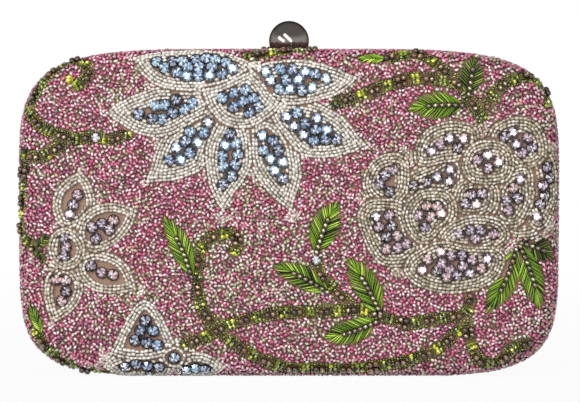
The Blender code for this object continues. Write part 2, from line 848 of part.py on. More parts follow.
def main():
    clear_scene()
    lid_axis = add_joint_axis("lid_axis", (0.0, 0.0, HINGE_HEIGHT))
    latch_axis = add_joint_axis("latch_axis", (0.0, LATCH_PIN_DEPTH, LATCH_PIN_HEIGHT))
    back = make_tray("back", 1)
    front = make_tray("front", -1)
    back_frame, front_frame = back[-1], front[-1]
    for label, centre in (("left", -HINGE_SPACING / 2), ("right", HINGE_SPACING / 2)):
        on_back, on_front = make_hinge(label, centre)
        back += on_back
        front += on_front
        notch_for_hinge(back_frame, label, centre)
        notch_for_hinge(front_frame, label, centre)
    drill_rivet_holes(back_frame, 1)
    drill_rivet_holes(front_frame, -1)
    back += [make_latch_base(), make_latch_pin(), make_spring()]
    front.append(make_catch())
    for label, x in (("left", -RIVET_SPACING / 2), ("right", RIVET_SPACING / 2)):
        back.append(make_rivet(f"latch_rivet_{label}", x, 1))
        front.append(make_rivet(f"catch_rivet_{label}", x, -1))
    latch = [make_lever(), make_ball(), make_collar(), make_stud()]
    child_of(lid_axis, front)
    child_of(latch_axis, latch)


main()
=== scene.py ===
"""Beaded box clutch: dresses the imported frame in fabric, beadwork, stones, thread and metal.

Lengths are in metres. The embroidery is planned once on a flat pattern, seen from outside, with
u to the right and w up, and CoverSurface lays it on each padded cover. The plan's motifs are placed
by named pixels of the photograph.
"""

import functools
import itertools
import math

import bmesh
import bpy
import numpy as np
from bpy.props import FloatProperty, FloatVectorProperty, PointerProperty
from mathutils import Matrix, Vector


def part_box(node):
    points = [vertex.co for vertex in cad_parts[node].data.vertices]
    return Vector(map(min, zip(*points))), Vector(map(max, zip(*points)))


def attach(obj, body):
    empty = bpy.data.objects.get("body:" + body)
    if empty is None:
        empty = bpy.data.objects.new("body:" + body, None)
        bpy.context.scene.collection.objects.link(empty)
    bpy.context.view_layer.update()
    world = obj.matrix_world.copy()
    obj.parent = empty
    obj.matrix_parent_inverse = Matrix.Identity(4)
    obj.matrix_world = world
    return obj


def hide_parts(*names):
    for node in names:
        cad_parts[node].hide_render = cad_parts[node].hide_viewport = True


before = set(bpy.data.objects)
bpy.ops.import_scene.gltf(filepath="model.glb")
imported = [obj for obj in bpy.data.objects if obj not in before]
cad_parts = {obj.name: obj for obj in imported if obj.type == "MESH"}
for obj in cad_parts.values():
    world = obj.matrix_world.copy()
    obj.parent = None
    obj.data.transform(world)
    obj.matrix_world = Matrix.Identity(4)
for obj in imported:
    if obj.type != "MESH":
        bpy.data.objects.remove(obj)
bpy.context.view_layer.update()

bl_info = {
    "name": "Beaded Box Clutch",
    "version": (1, 0, 0),
    "blender": (4, 5, 0),
    "location": "View3D > Sidebar > Clutch",
    "description": "Dresses the frame of a box clutch in beadwork, stones, thread and metal",
    "category": "Object",
}

FRONT = -1
BACK = 1
HALVES = {FRONT: "front", BACK: "back"}
TURN = 2 * math.pi

# The covers' form, as the frame's solids have it

COVER_LOW, COVER_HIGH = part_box("front_cover")
HALF_WIDTH = COVER_HIGH.x
BODY_HEIGHT = COVER_HIGH.z
HALF_DEPTH = -COVER_LOW.y
MOUTH_DEPTH = -COVER_HIGH.y
WIDEST_HEIGHT = 0.054
TOP_FULLNESS = 5.2
BOTTOM_FULLNESS = 5.7
FOOT_FLATTENING = 0.0005
CROWN = 0.001
FACE_DEPTH = HALF_DEPTH - CROWN
EDGE_ROUND = 0.009
EDGE_ROUND_DEPTH = 0.0065
ROLL_DEPTH = 0.010
ROLL_POWER = 1.5
MOUTH_INSET = 0.00405
DEEPEST_INSET = 0.0046
QUARTER_SAMPLES = 2400
RIM_SAMPLES = 1200
PROFILE_SAMPLES = 60
STEP = 0.00005
BLOCK = 2000

# The fabric under the beads

# How deep it lies under the beads' tops, its thickness, the strip of it that rolls over the edge, and
# where beads stay low: at the ball and the foot
BEAD_DEPTH = 0.0011
FABRIC_THICKNESS = 0.00035
STRIP = 0.0236
BALL_ROOM = (0.0095, 0.0115, 1)
FOOT_ROOM = 0.0024

# The photograph's own frame, and the motifs placed by its pixels

PHOTO_WIDTH_PX = 580
PHOTO_PX_PER_METRE = 3020.0
PHOTO_MIDDLE_PX = 289.0
PHOTO_CREST_PX = 49.5
PHOTO_AIM = Vector((0.00033, -0.013, 0.0578))

# Petals

# How many rows of beads edge a petal, its outline as x, y in turn with each corner given twice, and
# its stones as x, y in turn
BLUE_FLOWER_PX = (
    (5, (203, 89, 203, 89, 217, 86, 234, 79, 253, 69, 253, 69, 262, 80, 269, 90, 275, 97, 284, 104, 284,
     104, 272, 115, 259, 124, 246, 128, 232, 127, 219, 120, 209, 107),
     (223.5, 97.5, 234.5, 93, 246, 90, 254, 98, 244, 101.5, 234.5, 106.5, 259, 106.5, 250, 112.5)),
    (5, (134, 57, 134, 57, 139, 68, 148, 79, 160, 87, 178, 91, 200, 91, 220, 88, 236, 82, 249, 74, 258,
     66, 258, 66, 249, 60, 240, 56, 228, 52, 210, 50.3, 185, 50.3, 160, 51.5, 145, 53.5),
     (158.5, 61.5, 174, 61, 184, 60.5, 197, 59, 207, 57.5, 216, 59, 227, 62, 233.5, 68, 166, 67.5, 189,
     67, 200, 67, 213, 67, 178.5, 72.5, 188, 76, 200, 76, 210.5, 76, 223, 73.5)),
    (5, (357, 77, 357, 77, 350, 86, 337, 95, 323, 100, 307, 104, 290, 105, 272, 102, 258, 90, 250, 75,
     256, 66, 268, 61.5, 286, 58.8, 302, 58.8, 320, 62, 336, 67.5, 349, 73.5),
     (266.5, 71.5, 271, 80.5, 280.5, 69, 292.5, 69, 286, 80, 298.5, 79.5, 305, 72, 315, 74, 325.5, 79,
     279.5, 89.5, 290, 89, 302, 90.5, 312, 87.5)),
    (5, (107, 113, 107, 113, 118, 121, 130, 129, 142, 134.5, 155, 137, 168, 135.5, 180, 131, 192, 124,
     204, 118, 216, 110, 214, 96, 205, 86, 190, 86, 175, 86, 158, 87, 143, 92, 130, 97, 117, 104),
     (141, 114, 157, 105.5, 166, 104.5, 178, 99.5, 154, 118, 164, 118.5, 174.5, 112.5, 186, 109, 194,
     103)),
    (5, (224, 212, 224, 212, 217, 201, 211.5, 188, 208, 176, 206.5, 165, 206, 152, 208, 141, 213, 130,
     220, 118, 232, 114, 244, 118, 249, 128, 251.5, 140, 252.5, 152, 252.5, 162, 249.5, 172, 243, 182,
     232.5, 197),
     (231, 133, 226, 144.5, 237, 143, 223.5, 155, 238.5, 153.5, 224, 165.5, 236, 163.5, 232.5, 175, 224,
     183)),
    (5, (366, 144, 366, 144, 353.5, 151, 337.5, 155.5, 323, 157.5, 310, 157, 300, 153.5, 292, 145, 284,
     135, 275, 124, 271, 110, 278, 100, 291, 99, 305, 100, 318, 103, 330, 108.5, 341, 115, 350, 124.5,
     357.5, 134.5),
     (286.5, 116.5, 297.5, 112.5, 294, 126, 305, 123, 316.5, 118, 303.5, 134, 315.5, 129, 326.5, 129,
     313.5, 139.5, 325.5, 138.5, 336, 138.5)),
    (5, (147, 181.5, 147, 181.5, 160, 181, 172, 180, 185, 177, 196, 173, 205, 167, 210, 156, 215, 138,
     220, 120, 212, 110, 200, 112, 188, 118, 177, 125, 166, 132, 160, 142, 156, 152, 153, 163, 150, 172),
     (171.5, 159, 182, 159, 178, 147, 187, 140.5, 191.5, 152, 191.5, 131, 199, 142, 205, 132, 209, 122)),
    (5, (291, 211, 291, 211, 277, 199.5, 266, 188.5, 257, 176, 251, 164, 249, 150, 249, 137, 250, 120,
     262, 112, 277, 114, 289, 126, 297, 141, 300, 153, 301.5, 165, 301.5, 176, 298.5, 188, 294.5, 200),
     (262.5, 135, 273.5, 140, 264, 149.5, 278.5, 149.5, 270.5, 158, 283, 161.5, 275, 169.5, 283, 177.5)),
)
PEONY_PX = (
    (5, (402, 268, 408, 254, 420, 246, 433, 240, 447, 239, 462, 243, 478, 244, 494, 245, 503, 254, 502,
     266, 495, 278, 480, 287, 462, 291, 444, 291.5, 425, 288, 410, 280),
     (439, 250, 426.5, 257.5, 449.5, 254, 460, 253.5, 440, 261.5, 470.5, 258, 485, 257, 421, 268, 435,
     269, 448, 267, 461, 264, 445.5, 275, 455.5, 273.5, 468, 271.5, 479.5, 266.5)),
    (5, (436, 234, 446, 222, 458, 216, 470, 213, 485, 213.5, 500, 219, 508, 232, 503, 243, 488, 250, 472,
     252, 455, 251, 442, 246),
     (457.5, 232, 468, 228.5, 479, 228.5, 473.5, 237, 491, 232)),
    (5, (400, 215, 405, 200, 417, 189, 430, 186.5, 445, 188, 454, 198, 456, 212, 451, 224, 441, 232, 432,
     241, 418, 242, 406, 232),
     (425, 204, 435.5, 204.5, 417, 214, 429, 215, 439.5, 212, 423.5, 225.5)),
    (5, (357, 210, 366, 199, 380, 196.5, 398, 198.5, 410, 208, 415, 222, 420, 236, 420, 250, 408, 262,
     395, 265.5, 380, 263, 369, 252, 362, 237, 357, 222),
     (375, 215, 388, 213.5, 378, 225, 390.5, 224, 385.5, 235, 396, 234, 405, 242, 385.5, 247, 396.5,
     246)),
    (5, (459, 167, 463, 150, 474, 141, 488, 138.5, 503, 142, 511, 153, 512, 168, 505, 180, 488, 184, 468,
     181),
     (475.5, 159, 485.5, 154, 485.5, 167, 496, 161)),
    (5, (447, 201, 452, 183, 466, 175, 482, 175.5, 495, 183, 498, 197, 493, 212, 478, 220, 458, 219, 449,
     211),
     (469, 193, 480, 192, 464, 202, 474, 203)),
    (5, (488, 202, 491, 184, 501, 171, 515, 163.5, 528, 166, 532, 182, 532, 200, 526, 214, 517, 225, 502,
     226, 490, 216),
     (517.5, 178, 511, 186.5, 515.5, 197, 504, 199, 506, 209)),
    (5, (412, 152, 417, 137, 428, 126, 445, 120.5, 462, 121, 475, 127, 478, 140, 472, 153, 458, 160, 440,
     163, 425, 166, 414, 163),
     (430, 150.5, 439, 143.5, 447.5, 137.5, 461.5, 138, 455.5, 147)),
    (5, (484, 138, 490, 125, 503, 117.5, 518, 116, 533, 120, 542, 131, 546, 146, 544, 158, 532, 167, 518,
     167, 507, 157, 495, 152, 487, 147),
     (502, 136, 510.5, 131.5, 525, 137, 513.5, 143.5, 529, 146.5, 519.5, 152)),
    (5, (361.5, 187, 363, 172, 370, 160, 382, 153, 396, 152, 407, 159, 409, 175, 407, 190, 399, 201, 388,
     206, 372, 202),
     (392, 168.5, 384, 174, 378.5, 183, 388, 190)),
    (5, (396, 190, 399, 176, 412, 166, 427, 160, 440, 153, 455, 152.5, 464, 163, 464, 178, 458, 192, 440,
     199, 420, 197, 405, 199),
     (412, 184.5, 425, 180.5, 435.5, 176, 448, 168.5, 447, 180.5)),
    (5, (526, 165, 534, 152, 545, 149, 552, 158, 555.5, 170, 556, 185, 555.5, 200, 552, 212, 545, 225,
     535, 229, 526, 222, 522, 205, 526, 190, 527, 178),
     (545, 166, 548, 177, 541, 184, 543, 194.5, 538, 203, 534.5, 215)),
    (5, (506, 224, 514, 211, 529, 208, 541, 215, 544, 226, 532, 234, 516, 236.5, 506, 233), ()),
)
SMALL_FLOWER_PX = (
    (3, (50, 247, 54, 233, 62, 226, 73, 226, 83, 234, 88, 246, 85, 258, 77, 266, 65, 268, 54, 260), (67,
     236.5, 68, 245, 67, 254)),
    (3, (139, 209, 139, 209, 136, 220, 129, 232, 119, 242, 106, 249, 92, 250, 80, 242, 78, 228, 83, 215,
     93, 206, 106, 201.5, 120, 201.5, 131, 205),
     (94, 225.5, 104, 222, 115.5, 218.5, 111, 228, 98, 237)),
    (3, (139, 288, 139, 288, 126, 291, 112, 292, 98, 290, 86, 283, 78, 270, 80, 256, 92, 249, 106, 249.5,
     119, 254, 129, 262, 135, 274),
     (93, 264, 103.5, 270.5, 115, 272.5)),
    (3, (53, 323, 53, 323, 49, 310, 46, 297, 46, 284, 50, 272, 60, 263, 72, 263, 82, 271, 86, 284, 83,
     298, 76, 308, 65, 316),
     (58.5, 277.5, 68, 278.5, 64, 299, 68, 289)),
    (3, (84, 170, 84, 170, 92, 180, 97, 192, 98, 203, 92, 214, 82, 223, 70, 227, 60, 222, 55, 210, 55,
     198, 60, 186, 71, 176),
     (80, 193.5, 75.5, 203.5, 72, 213)),
)
BLUE_BUD_PX = (
    (1, (175, 344, 184, 348, 187, 356, 182, 365, 174, 367, 165, 362, 164, 351), (175, 355.5)),
    (3, (147, 297.5, 156, 302, 164, 314, 170, 327, 177, 344, 177, 344, 166, 354, 150, 358, 132, 358, 110,
     353, 110, 353, 117, 338, 124, 323, 131, 311, 138, 301),
     (146.5, 318, 141.5, 328, 154.5, 328, 136, 338, 148, 340, 158.5, 343)),
    (3, (103, 366, 103, 366, 113, 355, 130, 350, 150, 350, 165, 354, 172, 362, 170, 372, 160, 378, 140,
     379, 118, 375),
     (126.5, 366, 137.5, 362.5, 148, 364.5, 159.5, 366, 150, 373.5)),
    (3, (227, 366, 227, 366, 215, 355, 200, 349.5, 187, 352, 178, 360, 178, 371, 190, 378, 205, 379, 218,
     374),
     (187, 369.5, 196.5, 367, 205.5, 368)),
)

# Leaves: base, tip, half width, bend, and 1 where the thread is the dark green

LEAF_BLUNTNESS = 0.75
LEAVES_PX = (
    ((193, 276), (165, 214), 11, 3.0, 0),
    ((328, 290), (272, 262), 12, 2.0, 0),
    ((316, 251), (337, 199), 15, -2.0, 0),
    ((380, 312), (347, 255), 14, 2.0, 0),
    ((376, 319), (323, 336), 13, -2.0, 0),
    ((461, 105), (406, 109), 14, 2.0, 0),
    ((466, 95), (473, 54), 13, 0.0, 1),
    ((384, 58), (357, 57), 5, 0.0, 0),
    ((514, 246), (484, 311), 13, -4.0, 0),
    ((517, 243), (539, 308), 13, -2.0, 0),
    ((518, 241), (554, 256), 13, -2.0, 1),
    ((42, 331), (29, 303), 6, 1.0, 0),
    ((39, 246), (52, 232), 5, 0.0, 1),
    ((39, 248), (48, 262), 5, 0.0, 1),
)

# Vines, each read as a smooth line

VINES_PX = (
    ((31, 112), (44, 126), (70, 137), (98, 137), (115, 139), (130, 133)),
    ((24, 154), (41, 156), (56, 150), (70, 140)),
    ((30, 108), (40, 87), (56, 70), (74, 60), (89, 65), (90, 76), (80, 85)),
    ((26, 158), (24, 176), (22, 205), (22, 232), (38, 247)),
    ((334, 103), (358, 96), (386, 86), (412, 79), (438, 80), (455, 84), (466, 98), (479, 117)),
    ((468, 103), (484, 106), (490, 96), (503, 83), (521, 75), (534, 79), (545, 90), (547, 103)),
    ((452, 80), (434, 63), (418, 54), (402, 54), (388, 57)),
    ((248, 56), (266, 52), (288, 50), (312, 49)),
    ((183, 344), (206, 334), (231, 322), (261, 314), (287, 310), (333, 309), (360, 307), (379, 313), (404,
     321), (421, 319), (440, 316), (465, 311), (468, 296)),
    ((465, 316), (469, 338), (479, 360), (497, 361), (512, 347), (526, 342)),
    ((458, 328), (433, 348), (407, 359), (377, 365), (351, 368), (321, 368), (287, 367), (259, 356), (233,
     340), (221, 330)),
    ((217, 324), (202, 304), (198, 272), (200, 254), (205, 243), (215, 235), (228, 231), (238, 238), (235,
     250)),
    ((317, 262), (321, 274), (336, 290), (351, 303), (360, 307)),
    ((36, 330), (52, 354), (78, 368), (106, 373), (124, 373)),
)
SILVER_HEART_PX = (255, 265)
LONE_STONE_PX = (72, 79)
CRYSTALS_PX = ((316, 258), (98, 137))

# Beads, stones and threads

SEED = 7
CLAIM_CELL = 0.00015
OUTLINE_STEP = 0.0002
# How far the strengths of the pieces' painted highlights (glints) lean to the weak end
PAINTED_GLINT_POWER = 2.0
BEADS_PER_PIECE = 5500

# Rows of clear beads: in a petal, and bridging to the next one

BAND_RADIUS = 0.0006
BAND_ROW = 0.00106
BAND_PITCH = 0.0014
BAND_HALF = 0.49 * BAND_PITCH
BAND_ROOM = 0.52 * BAND_PITCH
BAND_TURN = 0.1
BAND_STRAY = 1.6 * STEP
BAND_UNEVEN = 0.06
PETAL_MARGIN = 0.0004
PEONY_BRIDGE = 0.0034
PETAL_BRIDGE = 0.0012
BRIDGE_ROWS = 3

# Stones: the room that one takes, and the lone ones' sizes, as shares of the blue stones' or in metres

STONE_ROOM_SHARE = 0.55
CRYSTAL_SHARE = 0.42

# Vines: green lumps and bronze beads in turn, spaced along and across in radii, and the fringe

VINE_ELEMENT = 0.0045
VINE_HALF_WIDTH = 0.0022
VINE_MARGIN = 0.0003
LUMP_RADIUS = 0.00078
LUMP_SPACING = np.array((1.7, 1.3))
LUMP_STRAY = 0.16 * LUMP_RADIUS
LUMP_UNEVEN = 0.14
LONE_LUMP_RADIUS = 1.9 * LUMP_RADIUS
LONE_LUMP_LIFT = 1.4 * LUMP_RADIUS
BRONZE_RADIUS = 0.00108
BRONZE_HALF = 0.84 * BRONZE_RADIUS
BRONZE_SPACING = np.array((1.75, 1.95))
BRONZE_TURN = 0.12
BRONZE_DOUBLED = 0.2
FRINGE_PITCH = 0.00095
FRINGE_RADIUS = 0.00045
FRINGE_HALF = 0.5 * FRINGE_PITCH
FRINGE_STRAY = 0.00015
FRINGE_TURN = 0.6
FRINGE_NEAREST = 0.8

# Leaves: raised stitches over a near-black ground that stands for the shade between them, and ribs of
# beads on the larger ones

UNDER_RADIUS = 0.0004
STITCH_PITCH = 0.00085
STITCH_RADIUS = 0.00023
STITCH_LEAN_SHARE = 0.23
STITCH_LEANS = (0.88, 1.12)
STITCH_FAN_SHARE = 0.16
STITCH_ENDS = (0.02, 0.995)
LEAF_SAMPLES = 60
LEAF_MARGIN = 0.6 * PETAL_MARGIN
RIBBED_HALF_PX = 8
RIB_PITCH = 0.002
RIB_HALF = 0.46 * RIB_PITCH
RIB_RADIUS = 0.00092
RIB_REACH = (0.02, 0.62)
RIB_SAMPLES = 20

# Ground

# How often a spot is tried, what numbers the boxes that beads are looked up in, and the share of
# silver beads: everywhere, at the heart, and drifting
GROUND_TRIES = 7
BOX_STRIDES = np.array((1, 10**4, 10**8))
GROUND_UNEVEN = 0.09
GROUND_EDGE_SHARE = 0.7
SILVER_SHARES = np.array((0.04, 0.29, 0.35))
SILVER_REACH = 0.028
SILVER_DRIFT = 0.046
DRIFT_WAVES = 5
DRIFT_TURNS = (0.4, 1.27)
DRIFT_SHORTENING = 0.11
DRIFT_PHASE = 2.1
DRIFT_RANGE = 6

# How pieces of a kind vary

# Their tilt, how much lighter or darker each is, how often each tint comes, and how strong the painted
# highlight (glint) on them is, from and to
EACH_TINT = (0.35, 0.3, 0.2, 0.15)
PETAL_VARIETY = {"tilt": 0.1, "shade": 0.12, "chances": EACH_TINT, "glint": (0.0, 1.3)}
STONE_VARIETY = {"tilt": 0.16, "shade": 0.12, "chances": EACH_TINT, "glint": (0.6, 1.15)}
CRYSTAL_VARIETY = {"glint": (1.8, 1.8)}
STITCH_VARIETY = {"tilt": 0.03, "shade": 0.15}
STITCH_CHANCES = (0.4, 0.3, 0.2, 0.1)
RIB_VARIETY = {"shade": 0.15, "glint": (0.3, 1.6)}
LUMP_VARIETY = {"tilt": 0.6, "shade": 0.25, "chances": (0.32, 0.3, 0.16, 0.22), "glint": (0.0, 0.9)}
BRONZE_VARIETY = {"tilt": 0.15, "shade": 0.2, "chances": (0.4, 0.35, 0.25), "glint": (0.0, 1.1)}
FRINGE_VARIETY = {"tilt": 0.2, "shade": 0.25, "chances": (0.35, 0.25, 0.25, 0.15), "glint": (0.0, 0.4)}
VINE_GROUND_VARIETY = {"shade": 0.2}
GROUND_VARIETY = {"tilt": 0.35, "shade": 0.14, "glint": (0.0, 1.45)}
PINK_CHANCES = (0.32, 0.26, 0.18, 0.14, 0.1)
SILVER_CHANCES = (0.34, 0.26, 0.2, 0.2)


def srgb(red, green, blue):
    """A colour as it is seen, in steps of 255, as linear shares."""
    shares = [step / 255 for step in (red, green, blue)]
    return tuple(
        share / 12.92 if share <= 0.04045 else ((share + 0.055) / 1.055) ** 2.4 for share in shares
    )


def tints(*colours):
    """Colours that pieces of one kind take turns with."""
    return tuple(srgb(*colour) for colour in colours)


PINKS = tints((170, 60, 102), (150, 56, 96), (186, 86, 122), (118, 38, 72), (156, 90, 122))
SILVERS = tints((154, 142, 110), (134, 120, 94), (180, 168, 136), (108, 96, 72))
CLEARS = tints((162, 150, 126), (140, 130, 108), (190, 178, 154), (114, 102, 84))
MILD_CLEARS = tints((180, 168, 150), (160, 149, 131), (198, 188, 172), (142, 130, 114))
PALE_CLEARS = tints((196, 190, 178), (176, 170, 158), (212, 207, 197), (158, 151, 138))
BRONZES = tints((70, 42, 22), (50, 32, 16), (94, 62, 34))
PERIDOTS = tints((134, 148, 16), (90, 102, 16), (222, 224, 50), (30, 32, 8))
FRINGES = tints((78, 90, 18), (108, 122, 28), (60, 50, 20), (140, 148, 46))
BLUES = tints((106, 154, 196), (74, 112, 158), (146, 188, 218), (54, 82, 122))
LILACS = tints((176, 132, 152), (124, 94, 122), (204, 156, 152), (88, 60, 70))
GREENS = tints((122, 160, 32), (96, 134, 26), (186, 214, 84), (36, 44, 8))
DARK_GREENS = tints((88, 110, 38), (66, 86, 30), (144, 158, 68), (32, 30, 12))
# The leaves' under stitches: near black, a colour that stands for the shade between the threads
LEAF_PAINTED_SHADE_UNDERLAY = tints((22, 26, 6), (32, 36, 8), (16, 14, 6))
VINE_GROUND = tints((110, 100, 44), (84, 70, 32), (92, 102, 36))
RIBS = tints((34, 24, 16), (26, 18, 14), (46, 34, 24))
CUPS = srgb(64, 60, 58)
DARK_EDGE = srgb(96, 92, 86)
BRIGHT_CLEARS = tints((250, 250, 246))
# Colours of the painted highlights (glints): by default that of a bead's lined hole, and those of cut
# crystal, bronze glass and peridot glass
LINING_PAINTED_GLINT = srgb(255, 242, 236)
PAINTED_GLINT_COLOURS = {"crystal": srgb(240, 242, 250), "bronze": srgb(252, 222, 176), "peridot": srgb(236, 242, 160)}


# The covers' surface


def lengths_along(points):
    """How far along a line of points each one lies."""
    return np.concatenate(([0], np.cumsum(np.linalg.norm(np.diff(points, axis=0), axis=1))))


def superellipse(fullness, reach_z):
    """Points and outward normals of a quarter of the outline, from the side to the middle."""
    angle = (np.arange(QUARTER_SAMPLES) + 0.5) / QUARTER_SAMPLES * TURN / 4
    across = np.cos(angle) / HALF_WIDTH
    up = np.sin(angle) / reach_z
    radius = (across**fullness + up**fullness) ** (-1 / fullness)
    points = np.column_stack((radius * np.cos(angle), radius * np.sin(angle)))
    reach = np.array((HALF_WIDTH, reach_z))
    normals = (points / reach) ** (fullness - 1) / reach
    return points, normals / np.linalg.norm(normals, axis=1)[:, None]


def make_rim():
    """The line where the faces start to round, as evenly spaced points, and its outward normals."""
    top = superellipse(TOP_FULLNESS, BODY_HEIGHT - WIDEST_HEIGHT)
    low = superellipse(BOTTOM_FULLNESS, WIDEST_HEIGHT + FOOT_FLATTENING)
    points, normals = [], []
    for (point, normal), right, up in ((top, 1, 1), (top, -1, 1), (low, -1, -1), (low, 1, -1)):
        order = slice(None, None, right * up)
        points.append((point * (right, up))[order])
        normals.append((normal * (right, up))[order])
    points = np.concatenate(points) + (0, WIDEST_HEIGHT)
    normals = np.concatenate(normals)
    below = points[:, 1] < 0
    points[below, 1] = 0
    normals[below] = (0, -1)
    rim = points - normals * EDGE_ROUND
    both = np.column_stack((rim, normals))
    both = np.vstack((both, both[:1]))
    travel = lengths_along(both[:, :2])
    at = np.arange(RIM_SAMPLES) / RIM_SAMPLES * travel[-1]
    rim = np.column_stack([np.interp(at, travel, both[:, k]) for k in range(4)])
    return rim[:, :2], rim[:, 2:] / np.linalg.norm(rim[:, 2:], axis=1)[:, None]


RIM, RIM_OUT = make_rim()
RIM_ALONG = np.column_stack((-RIM_OUT[:, 1], RIM_OUT[:, 0]))
MIDDLE = np.array((0, WIDEST_HEIGHT))
PATTERN_REACH = np.array((HALF_WIDTH, WIDEST_HEIGHT)) + STRIP


def roll_inset(depth):
    """How far in the covers lie where they roll down to the frame."""
    share = np.clip((ROLL_DEPTH - depth) / (ROLL_DEPTH - MOUTH_DEPTH), 0, 1)
    return MOUTH_INSET * share**ROLL_POWER


def edge_profile(below):
    """From the rim over the edge to the mouth, this far under the cover: lateral places and depths."""
    turn = np.linspace(0, TURN / 4, PROFILE_SAMPLES)
    arc = np.column_stack((
        (EDGE_ROUND - below) * np.sin(turn),
        FACE_DEPTH - EDGE_ROUND_DEPTH + (EDGE_ROUND_DEPTH - below) * np.cos(turn),
    ))
    depth = np.linspace(ROLL_DEPTH, MOUTH_DEPTH, PROFILE_SAMPLES)
    inset = np.minimum(roll_inset(depth) + below, max(DEEPEST_INSET, below))
    return np.vstack((arc, np.column_stack((EDGE_ROUND - inset, depth))))


def rim_place(points):
    """Each pattern point's nearest sample of the rim, and how far it lies beyond it and along it."""
    nearest = np.concatenate([
        np.argmin(((block[:, None, :] - RIM[None]) ** 2).sum(2), axis=1)
        for block in np.array_split(points, len(points) // BLOCK + 1)
    ])
    offset = points - RIM[nearest]
    return nearest, (offset * RIM_OUT[nearest]).sum(1), (offset * RIM_ALONG[nearest]).sum(1)


def headings(turns):
    """Directions ahead and aside at these angles."""
    ahead = np.column_stack((np.cos(turns), np.sin(turns)))
    return ahead, np.column_stack((-ahead[:, 1], ahead[:, 0]))


class CoverSurface:
    """One padded cover's form a little under its outer surface, on which pattern points are laid."""

    def __init__(self, side, below):
        self.side = side
        self.below = below
        self.profile = edge_profile(below)
        self.travel = lengths_along(self.profile)

    def lay(self, points):
        """Places on the cover of these pattern points."""
        nearest, beyond, along = rim_place(points)
        lateral, depth = (np.interp(beyond, self.travel, self.profile[:, k]) for k in (0, 1))
        flat = RIM[nearest] + RIM_OUT[nearest] * lateral[:, None] + RIM_ALONG[nearest] * along[:, None]
        inside = beyond <= 0
        flat[inside] = points[inside]
        from_middle = points - MIDDLE
        reach = np.where(from_middle[:, 1] > 0, BODY_HEIGHT - WIDEST_HEIGHT, WIDEST_HEIGHT) - EDGE_ROUND
        fullness = np.where(from_middle[:, 1] > 0, TOP_FULLNESS, BOTTOM_FULLNESS)
        share = np.abs(from_middle[:, 0] / (HALF_WIDTH - EDGE_ROUND)) ** fullness
        share = (share + np.abs(from_middle[:, 1] / reach) ** fullness) ** (1 / fullness)
        crown = CROWN * np.clip(1 - share**2, 0, 1)
        depth = np.where(inside, FACE_DEPTH - self.below + crown, depth)
        return np.column_stack((-self.side * flat[:, 0], self.side * depth, flat[:, 1]))

    def frames(self, points, turns):
        """Places, and the directions along, across and out, of pieces turned by these angles."""
        ahead, aside = headings(turns)
        here = self.lay(points)
        along = self.lay(points + ahead * STEP) - here
        across = self.lay(points + aside * STEP) - here
        out = np.cross(along, across)
        along, out = (each / np.linalg.norm(each, axis=1)[:, None] for each in (along, out))
        return here, along, np.cross(out, along), out


SURFACES = {side: CoverSurface(side, BEAD_DEPTH) for side in HALVES}
SEEN_TURN = np.linspace(0, TURN / 4, PROFILE_SAMPLES)


def from_photo(points_px):
    """Pattern points of these pixels, unrolled where the cover curves away from the camera."""
    pixels = np.asarray(points_px, float).reshape(-1, 2)
    seen = np.column_stack((
        (pixels[:, 0] - PHOTO_MIDDLE_PX) / PHOTO_PX_PER_METRE,
        BODY_HEIGHT - (pixels[:, 1] - PHOTO_CREST_PX) / PHOTO_PX_PER_METRE,
    ))
    nearest, beyond, along = rim_place(seen)
    travel = np.interp(beyond, EDGE_ROUND * np.sin(SEEN_TURN), SURFACES[FRONT].travel[:PROFILE_SAMPLES])
    rolled = RIM[nearest] + RIM_OUT[nearest] * travel[:, None] + RIM_ALONG[nearest] * along[:, None]
    return np.where((beyond > 0)[:, None], rolled, seen)


# Lines and areas on the pattern


def inside(outline, points):
    """Which of the points lie inside a closed outline."""
    found = np.zeros(len(points), bool)
    for (x, y), (next_x, next_y) in zip(outline, np.roll(outline, -1, axis=0)):
        crosses = (y > points[:, 1]) != (next_y > points[:, 1])
        if crosses.any():
            found ^= crosses & (points[:, 0] < (next_x - x) * (points[:, 1] - y) / (next_y - y) + x)
    return found


def distance_to(line, points):
    """How far each of the points is from the nearest point of a line."""
    if len(points) == 0:
        return np.zeros(0)
    return np.sqrt(((points[:, None, :] - line[None]) ** 2).sum(2).min(1))


def spaced(line, step, closed=False):
    """The line again with evenly spaced points, and the line's direction at each, as angles."""
    if closed:
        line = np.vstack((line, line[:1]))
    travel = lengths_along(line)
    count = max(2, int(round(travel[-1] / step)))
    at = np.arange(count) / count * travel[-1] if closed else np.linspace(0, travel[-1], count + 1)
    points = np.column_stack([np.interp(at, travel, line[:, k]) for k in (0, 1)])
    ahead = np.column_stack([np.interp(at + STEP, travel, line[:, k]) for k in (0, 1)])
    behind = np.column_stack([np.interp(at - STEP, travel, line[:, k]) for k in (0, 1)])
    return points, np.arctan2(*(ahead - behind).T[::-1])


def smooth_line(points_px, closed=False, steps=12):
    """A smooth curve through these pixels, laid out on the pattern."""
    knots = np.array(points_px, float).reshape(-1, 2)
    if closed:
        knots = np.vstack((knots[-1:], knots, knots[:2]))
    else:
        knots = np.vstack((2 * knots[0] - knots[1], knots, 2 * knots[-1] - knots[-2]))
    line = []
    for a, b, c, d in zip(knots, knots[1:], knots[2:], knots[3:]):
        for share in np.arange(steps) / steps:
            bend = (2 * a - 5 * b + 4 * c - d) * share**2 + (3 * b - a - 3 * c + d) * share**3
            line.append((2 * b + (c - a) * share + bend) / 2)
    line.append(knots[-2])
    return from_photo(line)


def spine_and_sides(base, tip, half, bend, shares):
    """Points down the middle of a leaf, and on its two sides, in pixels."""
    base, tip = np.array(base, float), np.array(tip, float)
    along = (tip - base) / np.linalg.norm(tip - base)
    aside = np.array((-along[1], along[0]))
    swell = np.sin(math.pi * np.clip(shares, 0, 1))[:, None]
    spine = base + (tip - base) * shares[:, None] + aside * bend * swell
    reach = aside * half * swell**LEAF_BLUNTNESS
    return spine, spine + reach, spine - reach


